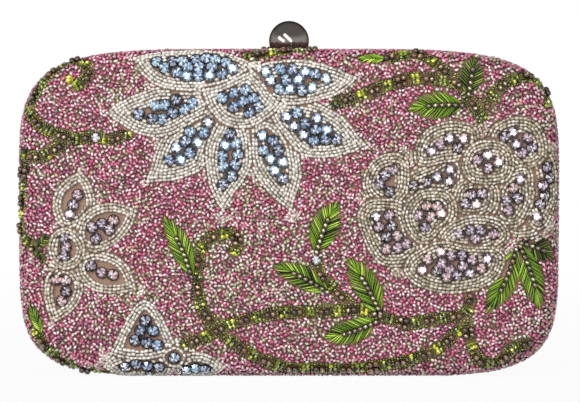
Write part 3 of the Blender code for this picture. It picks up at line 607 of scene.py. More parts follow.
def leaf_outline(base, tip, half, bend):
    """A leaf's closed outline on the pattern, with evenly spaced points."""
    shares = (1 - np.cos(math.pi * np.linspace(0, 1, LEAF_SAMPLES))) / 2
    _, left, right = spine_and_sides(base, tip, half, bend, shares)
    return spaced(from_photo(np.vstack((left[:-1], right[:0:-1]))), OUTLINE_STEP, closed=True)[0]


def row_beside(outline, depth):
    """The stretches of line this far inside an outline, or outside where the depth is negative."""
    ahead = np.roll(outline, -1, axis=0) - np.roll(outline, 1, axis=0)
    normal = np.column_stack((-ahead[:, 1], ahead[:, 0])) / np.linalg.norm(ahead, axis=1)[:, None]
    if inside(outline, outline + normal * OUTLINE_STEP).mean() < 0.5:
        normal = -normal
    moved = outline + normal * depth
    kept = distance_to(outline, moved) > abs(depth) - OUTLINE_STEP / 2
    if not kept.any():
        return []
    start = int(np.argmin(kept))
    moved, kept = np.roll(moved, -start, axis=0), np.roll(kept, -start)
    edges = np.flatnonzero(np.diff(np.concatenate(([0], kept.astype(int), [0]))))
    return [moved[a:b] for a, b in zip(edges[::2], edges[1::2]) if b - a > 2]


def drift(points, wavelength):
    """A slow drift from 0 to 1 over the pattern, from crossing waves."""
    total = np.zeros(len(points))
    for k in range(DRIFT_WAVES):
        angle = DRIFT_TURNS[0] + DRIFT_TURNS[1] * k
        across = points[:, 0] * math.cos(angle) + points[:, 1] * math.sin(angle)
        wave = wavelength * (1 - DRIFT_SHORTENING * k)
        total += np.sin(across * TURN / wave + DRIFT_PHASE * k * k)
    return np.clip(0.5 + total / DRIFT_RANGE, 0, 1)


class Claims:
    """A map of the flat pattern that says which spots are taken."""

    def __init__(self):
        self.low = MIDDLE - PATTERN_REACH
        self.taken = np.zeros(np.ceil(2 * PATTERN_REACH / CLAIM_CELL).astype(int) + 1, bool)

    def cells(self, points):
        """The map's cells under these points."""
        cells = np.floor((points - self.low) / CLAIM_CELL).astype(int)
        return np.clip(cells, 0, np.array(self.taken.shape) - 1)

    def free(self, points):
        """Which of the points lie on a spot that is still free."""
        column, row = self.cells(points).T
        return ~self.taken[column, row]

    def take_area(self, outline):
        """Takes everything inside an outline."""
        low, high = self.cells(outline).min(0), self.cells(outline).max(0) + 1
        column, row = np.meshgrid(*(np.arange(a, b) for a, b in zip(low, high)), indexing="ij")
        middles = self.low + (np.column_stack((column.ravel(), row.ravel())) + 0.5) * CLAIM_CELL
        self.taken[low[0]:high[0], low[1]:high[1]] |= inside(outline, middles).reshape(column.shape)

    def take_round(self, points, radius):
        """Takes a disc round each of the points."""
        reach = int(radius / CLAIM_CELL)
        span = np.arange(-reach, reach + 1)
        column, row = np.meshgrid(span, span, indexing="ij")
        near = column**2 + row**2 <= reach**2
        discs = self.cells(points)[:, None, :] + np.column_stack((column[near], row[near]))[None]
        discs = np.clip(discs.reshape(-1, 2), 0, np.array(self.taken.shape) - 1)
        self.taken[discs[:, 0], discs[:, 1]] = True


# A row's columns: u and w, turn, tilt, lift, three sizes, a colour and the strength of a painted
# highlight (glint)

PLACE = slice(0, 2)
TURNED = 2
TILT = 3
LIFT = 4
SIZES = slice(5, 8)
COLOUR = slice(8, 11)
PAINTED_GLINT = slice(11, 12)


class Batch:
    """Pieces of one kind on the pattern, as rows of a table with the columns named above."""

    def __init__(self):
        self.parts = []

    def add(
        self, random, points, turns, sizes, tints, lift, tilt=0.0, shade=0.0, chances=None, glint=(1, 1)
    ):
        """Adds pieces at these points, each in one of the tints, a little lighter or darker, with a
        painted highlight (glint) of its own strength.
        """
        count = len(points)
        if count == 0:
            return
        colour = np.array(tints)[random.choice(len(tints), count, p=chances)]
        colour = colour * (1 + random.uniform(-shade, shade, count))[:, None]
        tilts = random.uniform(-1, 1, count) * tilt
        sizes = np.broadcast_to(sizes, (count, 3))
        turns = np.broadcast_to(turns, count)
        # The strength of each piece's painted highlight
        painted_glints = glint[0] + (glint[1] - glint[0]) * random.random(count) ** PAINTED_GLINT_POWER
        lifts = np.full(count, lift)
        self.parts.append(np.column_stack((points, turns, tilts, lifts, sizes, colour, painted_glints)))

    def rows(self):
        """All the pieces as one table."""
        return np.vstack(self.parts)


class Plan:
    """Where every bead, stone and stitch goes on the flat pattern."""

    KINDS = (
        "petal_beads", "stones", "bronze_beads", "green_beads", "vine_fringe", "leaf_ribs",
        "leaf_stitches", "ground_beads",
    )

    def __init__(self, beads, stones):
        self.beads = beads
        self.stones = stones
        self.random = np.random.default_rng(SEED)
        self.claims = Claims()
        self.batches = {kind: Batch() for kind in self.KINDS}
        self.flower(BLUE_FLOWER_PX, BLUES, stones.blue_size, PETAL_BRIDGE, PALE_CLEARS)
        self.flower(PEONY_PX, LILACS, stones.lilac_size, PEONY_BRIDGE, CLEARS)
        self.flower(SMALL_FLOWER_PX, LILACS, stones.lilac_size, PETAL_BRIDGE, MILD_CLEARS)
        self.flower(BLUE_BUD_PX, BLUES, stones.blue_size, PETAL_BRIDGE, PALE_CLEARS)
        for base, tip, half, bend, dark in LEAVES_PX:
            self.leaf(base, tip, half, bend, DARK_GREENS if dark else GREENS)
        self.lone_stones()
        for points in VINES_PX:
            self.vine(smooth_line(points))
        self.ground()

    def add(self, kind, points, turns, sizes, tints, lift, **variety):
        """Adds pieces of one kind at these points."""
        self.batches[kind].add(self.random, points, turns, sizes, tints, lift, **variety)

    def uneven(self, size, spread, count):
        """This size for each of so many pieces, a little more or less."""
        return np.array(size) * (1 + self.random.uniform(-spread, spread, (count, 1)))

    def flower(self, petals, stone_tints, stone_size, bridge, clears):
        """Petals edged in rows of clear beads and set with stones. Each lies over the ones after it."""
        outlines = []
        for rows, outline_px, stones_px in petals:
            outline = spaced(smooth_line(outline_px, closed=True)[:-1], OUTLINE_STEP, closed=True)[0]
            places = from_photo(stones_px)
            self.set_stones(places, stone_tints, stone_size)
            self.claims.take_round(places, stone_size * STONE_ROOM_SHARE)
            for row in range(rows):
                for line in row_beside(outline, BAND_RADIUS + row * BAND_ROW):
                    self.walk(line, clears)
            self.claims.take_area(outline)
            self.claims.take_round(outline, PETAL_MARGIN)
            outlines.append(outline)
        for row in range(BRIDGE_ROWS):
            for index, outline in enumerate(outlines):
                others = np.vstack(outlines[:index] + outlines[index + 1:])
                for line in row_beside(outline, -BAND_RADIUS - row * BAND_ROW):
                    self.walk(line, clears, others, bridge)

    def walk(self, line, clears, near=None, reach=0):
        """Clear beads end to end along a line, where it is free and near any other line that is given."""
        points, turns = spaced(line, BAND_PITCH)
        free = self.claims.free(points)
        if near is not None:
            free &= distance_to(near, points) < reach
            self.claims.take_round(points[free], BAND_ROOM)
        points, turns = points[free], turns[free]
        turns = turns + self.random.normal(0, BAND_TURN, len(points))
        points = points + self.random.normal(0, BAND_STRAY, points.shape)
        sizes = self.uneven((BAND_HALF, BAND_RADIUS, BAND_RADIUS), BAND_UNEVEN, len(points))
        self.add("petal_beads", points, turns, sizes, clears, BAND_RADIUS, **PETAL_VARIETY)

    def set_stones(self, points, colours, size):
        """Cut stones at these points, each turned and tipped its own way."""
        turns = self.random.uniform(0, TURN, len(points))
        self.add("stones", points, turns, (size / 2,) * 3, colours, 0.0, **STONE_VARIETY)

    def leaf(self, base, tip, half, bend, threads):
        """A leaf of slanted satin stitches either side of a rib of small beads."""
        outline = leaf_outline(base, tip, half, bend)
        length = np.linalg.norm(np.subtract(tip, base)) / PHOTO_PX_PER_METRE
        count = int(length / STITCH_PITCH * (1 + STITCH_FAN_SHARE))
        starts = (np.arange(count) + 0.5) / count * (1 + STITCH_FAN_SHARE) - STITCH_FAN_SHARE
        spine = spine_and_sides(base, tip, half, bend, np.maximum(starts, 0))[0]
        for side in (1, 2):
            lean = STITCH_LEAN_SHARE * self.random.uniform(*STITCH_LEANS, count)
            end = spine_and_sides(base, tip, half, bend, np.clip(starts + lean, *STITCH_ENDS))[side]
            start, stop = from_photo(spine), from_photo(end)
            free = self.claims.free((start + stop) / 2)
            start, stop = start[free], stop[free]
            run = stop - start
            reach = np.linalg.norm(run, axis=1)
            middles, turns = (start + stop) / 2, np.arctan2(run[:, 1], run[:, 0])
            # A near-black under layer, whose colour stands for the shade between the stitches, then the
            # threads over it
            for colours, chances, radius, lift, shorter in (
                (LEAF_PAINTED_SHADE_UNDERLAY, None, UNDER_RADIUS, STITCH_RADIUS, UNDER_RADIUS),
                (threads, STITCH_CHANCES, STITCH_RADIUS, UNDER_RADIUS + STITCH_RADIUS, 0),
            ):
                thick = np.full(len(reach), radius)
                sizes = np.column_stack((reach / 2 + STITCH_RADIUS - shorter, thick, thick))
                variety = {"chances": chances, **STITCH_VARIETY}
                self.add("leaf_stitches", middles, turns, sizes, colours, lift, **variety)
        if half > RIBBED_HALF_PX:
            shares = np.linspace(*RIB_REACH, RIB_SAMPLES)
            spine = spine_and_sides(base, tip, half, bend, shares)[0]
            points, turns = spaced(from_photo(spine), RIB_PITCH)
            size = (RIB_HALF, RIB_RADIUS, RIB_RADIUS)
            self.add("leaf_ribs", points, turns, size, RIBS, RIB_RADIUS + UNDER_RADIUS, **RIB_VARIETY)
        self.claims.take_area(outline)
        self.claims.take_round(outline, LEAF_MARGIN)

    def lone_stones(self):
        """A few larger stones that stand by themselves."""
        size = self.stones.blue_size
        lone = from_photo(LONE_STONE_PX)
        self.add("green_beads", lone, 0.0, (LONE_LUMP_RADIUS,) * 3, PERIDOTS[2:3], LONE_LUMP_LIFT)
        crystals = from_photo(CRYSTALS_PX)
        sizes = (size * CRYSTAL_SHARE,) * 3
        self.add("stones", crystals, 0.0, sizes, BRIGHT_CLEARS, 0.0, **CRYSTAL_VARIETY)
        self.claims.take_round(np.vstack((lone, crystals)), size / 2)

    def vine(self, line):
        """A stem of green and bronze beads in turn, on bare fabric between two fringes of small ones."""
        edge = VINE_HALF_WIDTH - FRINGE_RADIUS
        sewn = self.stem(line)
        points, turns = spaced(line, UNDER_RADIUS * 2)
        kept = self.claims.free(points)
        size = (edge, UNDER_RADIUS, UNDER_RADIUS / 2)
        turned = turns[kept] + TURN / 4
        self.add("leaf_stitches", points[kept], turned, size, VINE_GROUND, 0.0, **VINE_GROUND_VARIETY)
        for away, spread in ((-edge, FRINGE_STRAY), (edge, FRINGE_STRAY), (0, edge / 2), (0, edge / 2)):
            self.fringe(line, away, spread, sewn)
        self.claims.take_round(spaced(line, CLAIM_CELL * 2)[0], VINE_HALF_WIDTH + VINE_MARGIN)

    def stem(self, line):
        """A vine's clusters of green beads and its bronze beads, in turn. Gives their points."""
        random = self.random
        points, turns = spaced(line, VINE_ELEMENT)
        ahead, aside = headings(turns)
        lumps, pairs = [], []
        for index in np.flatnonzero(self.claims.free(points)):
            if index % 2 == 0:
                found, radius, spacing = lumps, LUMP_RADIUS, LUMP_SPACING
                grid = [(along, across) for along in (-0.5, 0.5) for across in (-1, 0, 1)]
            else:
                found, radius, spacing = pairs, BRONZE_RADIUS, BRONZE_SPACING
                rows = (-0.5, 0.5) if random.random() < BRONZE_DOUBLED else (0.0,)
                grid = [(along, across) for across in rows for along in (-0.5, 0.5)]
            ways = np.stack((ahead[index], aside[index]))
            spots = points[index] + (np.array(grid) * spacing) @ ways * radius
            found.extend((*spot, turns[index]) for spot in spots)
        lumps, pairs = (np.array(each).reshape(-1, 3) for each in (lumps, pairs))
        lumps, pairs = (each[self.claims.free(each[:, :2])] for each in (lumps, pairs))
        lumps[:, :2] += random.normal(0, LUMP_STRAY, (len(lumps), 2))
        sizes = self.uneven((LUMP_RADIUS,) * 3, LUMP_UNEVEN, len(lumps))
        self.add("green_beads", lumps[:, :2], lumps[:, 2], sizes, PERIDOTS, LUMP_RADIUS, **LUMP_VARIETY)
        turned = pairs[:, 2] + random.normal(0, BRONZE_TURN, len(pairs))
        size = (BRONZE_HALF, BRONZE_RADIUS, BRONZE_RADIUS)
        self.add("bronze_beads", pairs[:, :2], turned, size, BRONZES, BRONZE_RADIUS, **BRONZE_VARIETY)
        return np.vstack((lumps, pairs))[:, :2]

    def fringe(self, line, away, spread, sewn):
        """Small beads this far beside a vine's line, or along it and clear of the beads sewn there."""
        points, turns = spaced(line, FRINGE_PITCH)
        stray = self.random.normal(0, spread, len(points))
        bits = points + headings(turns)[1] * (away + stray)[:, None]
        kept = self.claims.free(bits) & (distance_to(line, bits) > abs(away) * FRINGE_NEAREST)
        if away == 0 and len(sewn):
            kept &= distance_to(sewn, bits) > BRONZE_RADIUS
        turned = turns[kept] + self.random.normal(0, FRINGE_TURN, kept.sum())
        size = (FRINGE_HALF, FRINGE_RADIUS, FRINGE_RADIUS)
        self.add("vine_fringe", bits[kept], turned, size, FRINGES, FRINGE_RADIUS, **FRINGE_VARIETY)

    def ground(self):
        """Seed beads lying every way over all that is left, from lustre pink to silver-lined clear."""
        random, pitch = self.random, self.beads.pitch
        tries = int(4 * PATTERN_REACH.prod() / pitch**2 * GROUND_TRIES)
        points = random.uniform(MIDDLE - PATTERN_REACH, MIDDLE + PATTERN_REACH, (tries, 2))
        points = points[self.claims.free(points)]
        beyond = rim_place(points)[1]
        points = points[beyond < SURFACES[FRONT].travel[-1] - pitch * GROUND_EDGE_SHARE]
        points = self.thinned(points, pitch)
        count = len(points)
        heart = distance_to(from_photo(SILVER_HEART_PX), points)
        near_heart = np.exp(-(heart / SILVER_REACH) ** 2)
        share = SILVER_SHARES @ (np.ones(count), near_heart, drift(points, SILVER_DRIFT))
        silver = random.random(count) < share
        radius, half = self.beads.width / 2, self.beads.length / 2
        sizes = self.uneven((half, radius, radius), GROUND_UNEVEN, count)
        turns = random.uniform(0, TURN, count)
        for kept, colours, chances in ((~silver, PINKS, PINK_CHANCES), (silver, SILVERS, SILVER_CHANCES)):
            variety = {"chances": chances, **GROUND_VARIETY}
            self.add(
                "ground_beads", points[kept], turns[kept], sizes[kept], colours, radius, **variety
            )

    def thinned(self, points, apart):
        """The points without those that would crowd another once laid on the cover."""
        places = SURFACES[FRONT].lay(points)
        boxes = np.floor(places / apart).astype(int) @ BOX_STRIDES
        near = (np.array(list(itertools.product((-1, 0, 1), repeat=3))) @ BOX_STRIDES).tolist()
        held, kept = {}, []
        for index, (place, box) in enumerate(zip(places.tolist(), boxes.tolist())):
            others = (other for step in near for other in held.get(box + step, ()))
            if all(math.dist(place, other) > apart for other in others):
                held.setdefault(box, []).append(place)
                kept.append(index)
        return points[kept]


@functools.lru_cache(maxsize=1)
def embroidery():
    """The plan, worked out once from the scene's settings."""
    scene = bpy.context.scene
    return Plan(scene.clutch_beads, scene.clutch_stones)


# Small shapes that are repeated

# A mark is a corner's painted shade, and how strong a painted highlight (glint) shows at it
CELL_REACH = 0.44
END_PLACE = 0.9
# Painted shade on a bead's end caps. The painted highlight along its top reaches this far along and
# across
END_PAINTED_SHADE = (0.45, 0.0)
PAINTED_GLINT_REACH = 0.4
PAINTED_GLINT_WIDTH = 0.1
# Painted highlights and painted shade on the facets of a round bead
FACET_PAINTED_LIGHT = ((1.0, 0.0), (0.5, 0.0), (1.0, 0.9), (0.8, 0.0), (0.35, 0.0), (1.4, 0.3), (0.6, 0.0))
FACET_STRIDE = 5
STITCH_DIP = 1.6
# Painted shade on a stitch's ends, where it dips into the fabric
STITCH_END_PAINTED_SHADE = 0.6
STONE_SIDES = 10
STONE_RADIUS = 0.92
STONE_GIRDLE = 0.56
STONE_TABLE = 1.0
STONE_TABLE_SHARE = 0.6
STONE_TABLE_MARGIN = 0.05
STONE_BACK = 0.3
# Painted reflections on a stone's facets: white star facets as painted highlights, dark ones as painted
# shade
STONE_TABLE_PAINTED_LIGHT = (
    (1.0, 1.0), (0.4, 0.0), (1.1, 0.8), (0.5, 0.0), (1.0, 1.0), (0.35, 0.0), (1.0, 0.9), (0.8, 0.1),
    (0.35, 0.0), (1.1, 0.3),
)
STONE_CROWN_PAINTED_LIGHT = (
    (1.0, 0.8), (0.25, 0.0), (1.0, 0.2), (0.4, 0.0), (1.0, 0.9), (0.25, 0.0), (0.4, 0.0), (1.0, 0.5),
    (0.2, 0.0), (0.8, 0.0),
)
CUP_SIDES = 12
CUP_FOOT = 0.85
CUP_MOUTH = 1.1
CUP_DEPTH = 0.5
# Share of brightness that the cup keeps below its rim: painted shade under the stone
CUP_PAINTED_SHADE = 0.5
PRONGS = 4
PRONG_SIZE = (0.2, 0.26, 0.62)
PRONG_TAPER = (0.7, 0.6, 1)
PRONG_LEAN = (-0.2, 0, 0)
PRONG_PLACE = (0.94, 0, 0.56)


def verts_in(made):
    """The vertices among what an operator made."""
    return [each for each in made if isinstance(each, bmesh.types.BMVert)]


def edges_in(made):
    """The edges among what an operator made."""
    return [each for each in made if isinstance(each, bmesh.types.BMEdge)]


class Shape:
    """A repeated shape's points, faces, and the painted shade and painted highlight of each face corner.
    """

    def __init__(self, builder, paint_light_and_shade, smooth):
        bmesh.ops.recalc_face_normals(builder, faces=builder.faces)
        builder.verts.index_update()
        self.points = np.array([vert.co for vert in builder.verts])
        self.counts = np.array([len(face.verts) for face in builder.faces])
        self.corners = np.array([vert.index for face in builder.faces for vert in face.verts])
        # Each corner's painted shade and painted highlight
        self.marks = np.array([paint_light_and_shade(face, vert) for face in builder.faces for vert in face.verts])
        self.smooth = smooth
        builder.free()

    def cells(self):
        """Each face corner's place in a square that gives every face a small cell of its own."""
        across = math.ceil(math.sqrt(len(self.counts)))
        places = []
        for index, count in enumerate(self.counts):
            column, row = index % across, index // across
            for corner in range(count):
                angle = TURN * (corner + 0.5) / count
                right, up = CELL_REACH * math.cos(angle), CELL_REACH * math.sin(angle)
                places.append((column + 0.5 + right, row + 0.5 + up))
        return np.array(places) / across


def barrel(sides, cuts, end):
    """A bead along X, of unit radius and half length, that swells in the middle."""
    builder = bmesh.new()
    bmesh.ops.create_cone(builder, cap_ends=True, segments=sides, radius1=end, radius2=end, depth=2)
    sideways = [edge for edge in builder.edges if abs(edge.verts[0].co.z - edge.verts[1].co.z) > 1]
    bmesh.ops.subdivide_edges(builder, edges=sideways, cuts=cuts)
    for vert in builder.verts:
        swell = end + (1 - end) * math.sqrt(max(0, 1 - vert.co.z**4))
        bmesh.ops.scale(builder, vec=(swell / end, swell / end, 1), verts=[vert])
    bmesh.ops.rotate(builder, matrix=Matrix.Rotation(TURN / 4, 3, "Y"), verts=builder.verts)
    return builder


def bead_shape(sides=6, cuts=1, end=0.72, painted_end_and_underside_shade=0.7, ends_painted_glint=0.1):
    """A glass bead with a painted highlight along its top, where the lining of its hole would catch the
    light, and painted shade on its ends and underside.
    """
    builder = barrel(sides, cuts, end)
    bmesh.ops.rotate(builder, matrix=Matrix.Rotation(TURN / 4, 3, "X"), verts=builder.verts)

    def paint_light_and_shade(face, vert):
        # End caps get painted shade, the top a painted highlight, and the ends and underside painted
        # shade
        if abs(face.calc_center_median().x) > END_PLACE:
            return END_PAINTED_SHADE
        if vert.co.z > 0 and abs(vert.co.y) < PAINTED_GLINT_WIDTH:
            return 1.0, ends_painted_glint if abs(vert.co.x) > PAINTED_GLINT_REACH else 1.0
        return (painted_end_and_underside_shade if abs(vert.co.x) > END_PLACE or vert.co.z < 0 else 1.0), 0.0

    return Shape(builder, paint_light_and_shade, True)


def round_shape(across, down):
    """A faceted bead, some facets lighter with painted highlights and others darker with painted shade.
    """
    builder = bmesh.new()
    bmesh.ops.create_uvsphere(builder, u_segments=across, v_segments=down, radius=1)

    def paint_light_and_shade(face, vert):
        return FACET_PAINTED_LIGHT[face.index * FACET_STRIDE % len(FACET_PAINTED_LIGHT)]

    return Shape(builder, paint_light_and_shade, False)


def stitch_shape():
    """One raised satin stitch along X, its ends dipping into the fabric and painted darker there as
    shade.
    """
    builder = barrel(sides=5, cuts=3, end=0.6)
    for vert in builder.verts:
        bmesh.ops.translate(builder, vec=(0, 0, -STITCH_DIP * vert.co.x**2), verts=[vert])

    def paint_light_and_shade(face, vert):
        return STITCH_END_PAINTED_SHADE if abs(vert.co.x) > END_PLACE else 1.0, 0.0

    return Shape(builder, paint_light_and_shade, True)


def stone_shape():
    """A cut stone of unit radius over a flat back, its table and crown cut into facets that carry painted
    highlights and painted shade.
    """
    builder = bmesh.new()
    depth = STONE_TABLE - STONE_GIRDLE
    bmesh.ops.create_cone(
        builder, cap_ends=True, segments=STONE_SIDES, radius1=STONE_RADIUS,
        radius2=STONE_RADIUS * STONE_TABLE_SHARE, depth=depth
    )
    bmesh.ops.translate(builder, vec=(0, 0, STONE_GIRDLE + depth / 2), verts=builder.verts)
    table = max(builder.faces, key=lambda face: face.calc_center_median().z)
    bmesh.ops.poke(builder, faces=[table])
    base = min(builder.faces, key=lambda face: face.calc_center_median().z)
    made = bmesh.ops.extrude_face_region(builder, geom=[base])["geom"]
    bmesh.ops.translate(builder, vec=(0, 0, -STONE_BACK), verts=verts_in(made))
    bmesh.ops.delete(builder, geom=[base], context="FACES")

    def paint_light_and_shade(face, vert):
        middle = face.calc_center_median()
        sector = int((math.atan2(middle.y, middle.x) / TURN + 1) * STONE_SIDES) % STONE_SIDES
        on_table = middle.z > STONE_TABLE - STONE_TABLE_MARGIN
        return (STONE_TABLE_PAINTED_LIGHT if on_table else STONE_CROWN_PAINTED_LIGHT)[sector]

    return Shape(builder, paint_light_and_shade, False)


def cup_shape():
    """The cup that holds a stone: a low dark dish, a little wider than the stone so that its dark also
    stands for the shade between stones, and four prongs bent over the stone's edge; its lower part is
    painted darker as shade.
    """
    builder = bmesh.new()
    bmesh.ops.create_cone(
        builder, cap_ends=True, segments=CUP_SIDES, radius1=CUP_FOOT, radius2=CUP_MOUTH, depth=CUP_DEPTH
    )
    bmesh.ops.translate(builder, vec=(0, 0, CUP_DEPTH / 2), verts=builder.verts)
    for index in range(PRONGS):
        made = bmesh.ops.create_cube(builder, size=1)["verts"]
        bmesh.ops.scale(builder, vec=PRONG_SIZE, verts=made)
        tip = [vert for vert in made if vert.co.z > 0]
        bmesh.ops.scale(builder, vec=PRONG_TAPER, verts=tip)
        bmesh.ops.translate(builder, vec=PRONG_LEAN, verts=tip)
        bmesh.ops.translate(builder, vec=PRONG_PLACE, verts=made)
        turn = Matrix.Rotation(TURN * (index + 0.5) / PRONGS, 3, "Z")
        bmesh.ops.rotate(builder, matrix=turn, verts=made)

    def paint_light_and_shade(face, vert):
        return 1.0 if vert.co.z > CUP_DEPTH else CUP_PAINTED_SHADE, 0.0

    return Shape(builder, paint_light_and_shade, False)


# Materials


class Value:
    """A shader socket that can stand in a sum or a product, which adds a Math node."""

    def __init__(self, finish, socket):
        self.finish = finish
        self.socket = socket

    def maths(self, operation, first, second):
        """A Math node on two values."""
        return self.finish.node("ShaderNodeMath", {"operation": operation}, {0: first, 1: second})

    def __add__(self, other):
        return self.maths("ADD", self, other)

    def __sub__(self, other):
        return self.maths("SUBTRACT", self, other)

    def __rsub__(self, other):
        return self.maths("SUBTRACT", other, self)

    def __mul__(self, other):
        return self.maths("MULTIPLY", self, other)

    __radd__ = __add__
    __rmul__ = __mul__


class Nodes:
    """A material's or the world's nodes."""

    def __init__(self, owner, shader):
        owner.use_nodes = True
        self.tree = owner.node_tree
        self.shader = self.tree.nodes[shader]

    def set(self, socket, value, node=None):
        """Puts a value, or a link, on a socket of the shader or of another node."""
        target = (node or self.shader).inputs[socket]
        if isinstance(value, Value):
            self.tree.links.new(value.socket, target)
        else:
            target.default_value = value

    def node(self, kind, settings=None, inputs=None, output=0):
        """Any node: its settings, then its sockets' values or links. Gives one output."""
        made = self.tree.nodes.new(kind)
        for name, value in (settings or {}).items():
            setattr(made, name, value)
        for socket, value in (inputs or {}).items():
            self.set(socket, value, made)
        return Value(self, made.outputs[output])

    def seen(self):
        """1 for what the camera, metal or glass sees, and 0 for light on its way to a surface."""
        kinds = "Camera", "Glossy", "Transmission"
        rays = [self.node("ShaderNodeLightPath", output=f"Is {kind} Ray") for kind in kinds]
        return functools.reduce(lambda first, second: first.maths("MAXIMUM", first, second), rays)

    def ease(self, value, start, stop, first, last):
        """Turns from one number to another while a value goes from start to stop."""
        inputs = {"Value": value, "From Min": start, "From Max": stop, "To Min": first, "To Max": last}
        return self.node("ShaderNodeMapRange", {}, inputs)


class Finish(Nodes):
    """A material: one Principled shader, its fixed values, and the nodes that vary it."""

    def __init__(self, name, colour, roughness, metallic=0.0):
        self.material = bpy.data.materials.new(name)
        super().__init__(self.material, "Principled BSDF")
        self.set("Base Color", (*colour, 1))
        self.set("Roughness", roughness)
        self.set("Metallic", metallic)

    def place(self):
        """A point of the surface, in metres, in the object's own frame."""
        return self.node("ShaderNodeTexCoord", output="Object")

    def noise(self, scale, detail=2, stretch=None):
        """Noise on the object's own frame, with about this many waves in a metre."""
        place = self.place()
        if stretch:
            place = self.node("ShaderNodeMapping", {}, {"Vector": place, "Scale": stretch})
        return self.node("ShaderNodeTexNoise", {}, {"Vector": place, "Scale": scale, "Detail": detail})

    def mix(self, share, first, second, blend="MIX"):
        """A colour between two."""
        settings = {"data_type": "RGBA", "blend_type": blend}
        return self.node("ShaderNodeMix", settings, {0: share, 6: first, 7: second}, output=2)

    def tint(self):
        """The colour that each repeated piece carries, with its painted shade and painted highlights in
        it.
        """
        return self.node("ShaderNodeAttribute", {"attribute_name": "bead_colour_with_painted_light"}, output="Color")

    def bump(self, height, distance, strength=1.0):
        """Raises the surface by this height times a distance in metres."""
        inputs = {"Height": height, "Distance": distance, "Strength": strength}
        self.set("Normal", self.node("ShaderNodeBump", {}, inputs))


WHITE = (1, 1, 1)

# Glass of uneven gloss: its least roughness, and how much is added at most. Cloth: how many waves a
# wave texture of scale one has in a turn's number of metres, and how far apart the threads lie
LEAST_ROUGH = 0.2
ROUGH_RANGE = 0.2
WAVES_IN_TURN = 20
THREAD_PITCH = 0.00045


def shaded(colour, factor):
    """A colour with an alpha of one, lighter or darker by a factor."""
    return (*(share * factor for share in colour[:3]), 1)


def tinted_finish(
    name, roughness, metallic, uneven, waves, coat=0.0, coat_roughness=0.03, gloss_waves=None
):
    """A finish whose colour comes with each repeated piece, made uneven at a fine scale.

    Where gloss waves are given, the gloss is uneven too.
    """
    finish = Finish(name, WHITE, roughness, metallic)
    finish.set("Coat Weight", coat)
    finish.set("Coat Roughness", coat_roughness)
    light = finish.mix(finish.noise(waves), shaded(WHITE, 1 - uneven), shaded(WHITE, 1 + uneven))
    finish.set("Base Color", finish.mix(1.0, finish.tint(), light, "MULTIPLY"))
    if gloss_waves:
        finish.set("Roughness", LEAST_ROUGH + finish.noise(gloss_waves) * ROUGH_RANGE)
    return finish


# Pink glass under a pearly lustre, clear glass with a silver lining, dark bronze-lined glass, faceted
# green glass, foiled cut stones, and the stones' blackened cups
TINTED_FINISHES = {
    "lustre": {
        "name": "lustre_glass", "roughness": 0.25, "metallic": 0.15, "uneven": 0.2, "waves": 900,
        "coat": 0.8, "coat_roughness": 0.06, "gloss_waves": 1500,
    },
    "silver": {
        "name": "silver_lined_glass", "roughness": 0.25, "metallic": 0.15, "uneven": 0.2, "waves": 1100,
        "coat": 0.8, "coat_roughness": 0.06, "gloss_waves": 1700,
    },
    "bronze": {
        "name": "bronze_glass", "roughness": 0.22, "metallic": 0.35, "uneven": 0.3, "waves": 700,
        "coat": 0.8, "coat_roughness": 0.05,
    },
    "peridot": {
        "name": "peridot_glass", "roughness": 0.08, "metallic": 0.25, "uneven": 0.25, "waves": 500,
        "coat": 1.0, "coat_roughness": 0.03,
    },
    "crystal": {
        "name": "cut_crystal", "roughness": 0.06, "metallic": 0.3, "uneven": 0.12, "waves": 600,
        "coat": 1.0, "coat_roughness": 0.02,
    },
    "cup": {
        "name": "blackened_cups", "roughness": 0.3, "metallic": 0.9, "uneven": 0.2, "waves": 900,
    },
}


def silk_thread():
    """Embroidery floss: fine strands along each stitch, with a soft sheen."""
    finish = tinted_finish("silk_floss", roughness=0.42, metallic=0.0, uneven=0.3, waves=2600)
    finish.set("Sheen Weight", 0.12)
    finish.set("Sheen Roughness", 0.35)
    finish.set("Specular IOR Level", 0.35)
    finish.bump(finish.noise(5200), distance=0.00006)
    return finish


def weave(finish, pitch):
    """Over and under threads of a plain weave, from 0 to 1."""
    scale = 1 / pitch / WAVES_IN_TURN * TURN
    waves = []
    for way in ("X", "Z"):
        inputs = {"Vector": finish.place(), "Scale": scale, "Distortion": 0.6, "Detail": 1}
        waves.append(finish.node("ShaderNodeTexWave", {"bands_direction": way}, inputs, output="Fac"))
    return waves[0] * waves[1]


def ground_cloth():
    """Nude fabric under the beads, painted darker between the threads as shade."""
    colour = bpy.context.scene.clutch_threads.fabric
    finish = Finish("nude_ground_cloth", colour, roughness=0.85)
    finish.set("Sheen Weight", 0.25)
    woven = weave(finish, THREAD_PITCH)
    worn = finish.mix(finish.noise(90, detail=4), shaded(colour, 0.82), shaded(colour, 1.12))
    # Painted shade between the threads, over a tone that differs at random
    finish.set("Base Color", finish.mix(woven, shaded(colour, 0.55), worn))
    finish.bump(woven, distance=0.0001)
    return finish


def satin_cloth():
    """Lining satin with a long float weave."""
    colour = bpy.context.scene.clutch_threads.lining
    finish = Finish("champagne_satin", colour, roughness=0.34)
    finish.set("Sheen Weight", 0.6)
    finish.set("Sheen Roughness", 0.3)
    floats = finish.noise(2400, stretch=(1, 1, 0.12))
    soft = finish.mix(finish.noise(60, detail=3), shaded(colour, 0.86), shaded(colour, 1.1))
    finish.set("Base Color", finish.mix(floats, shaded(colour, 0.8), soft))
    finish.set("Roughness", 0.28 + floats * 0.2)
    finish.bump(floats, distance=0.00006)
    return finish


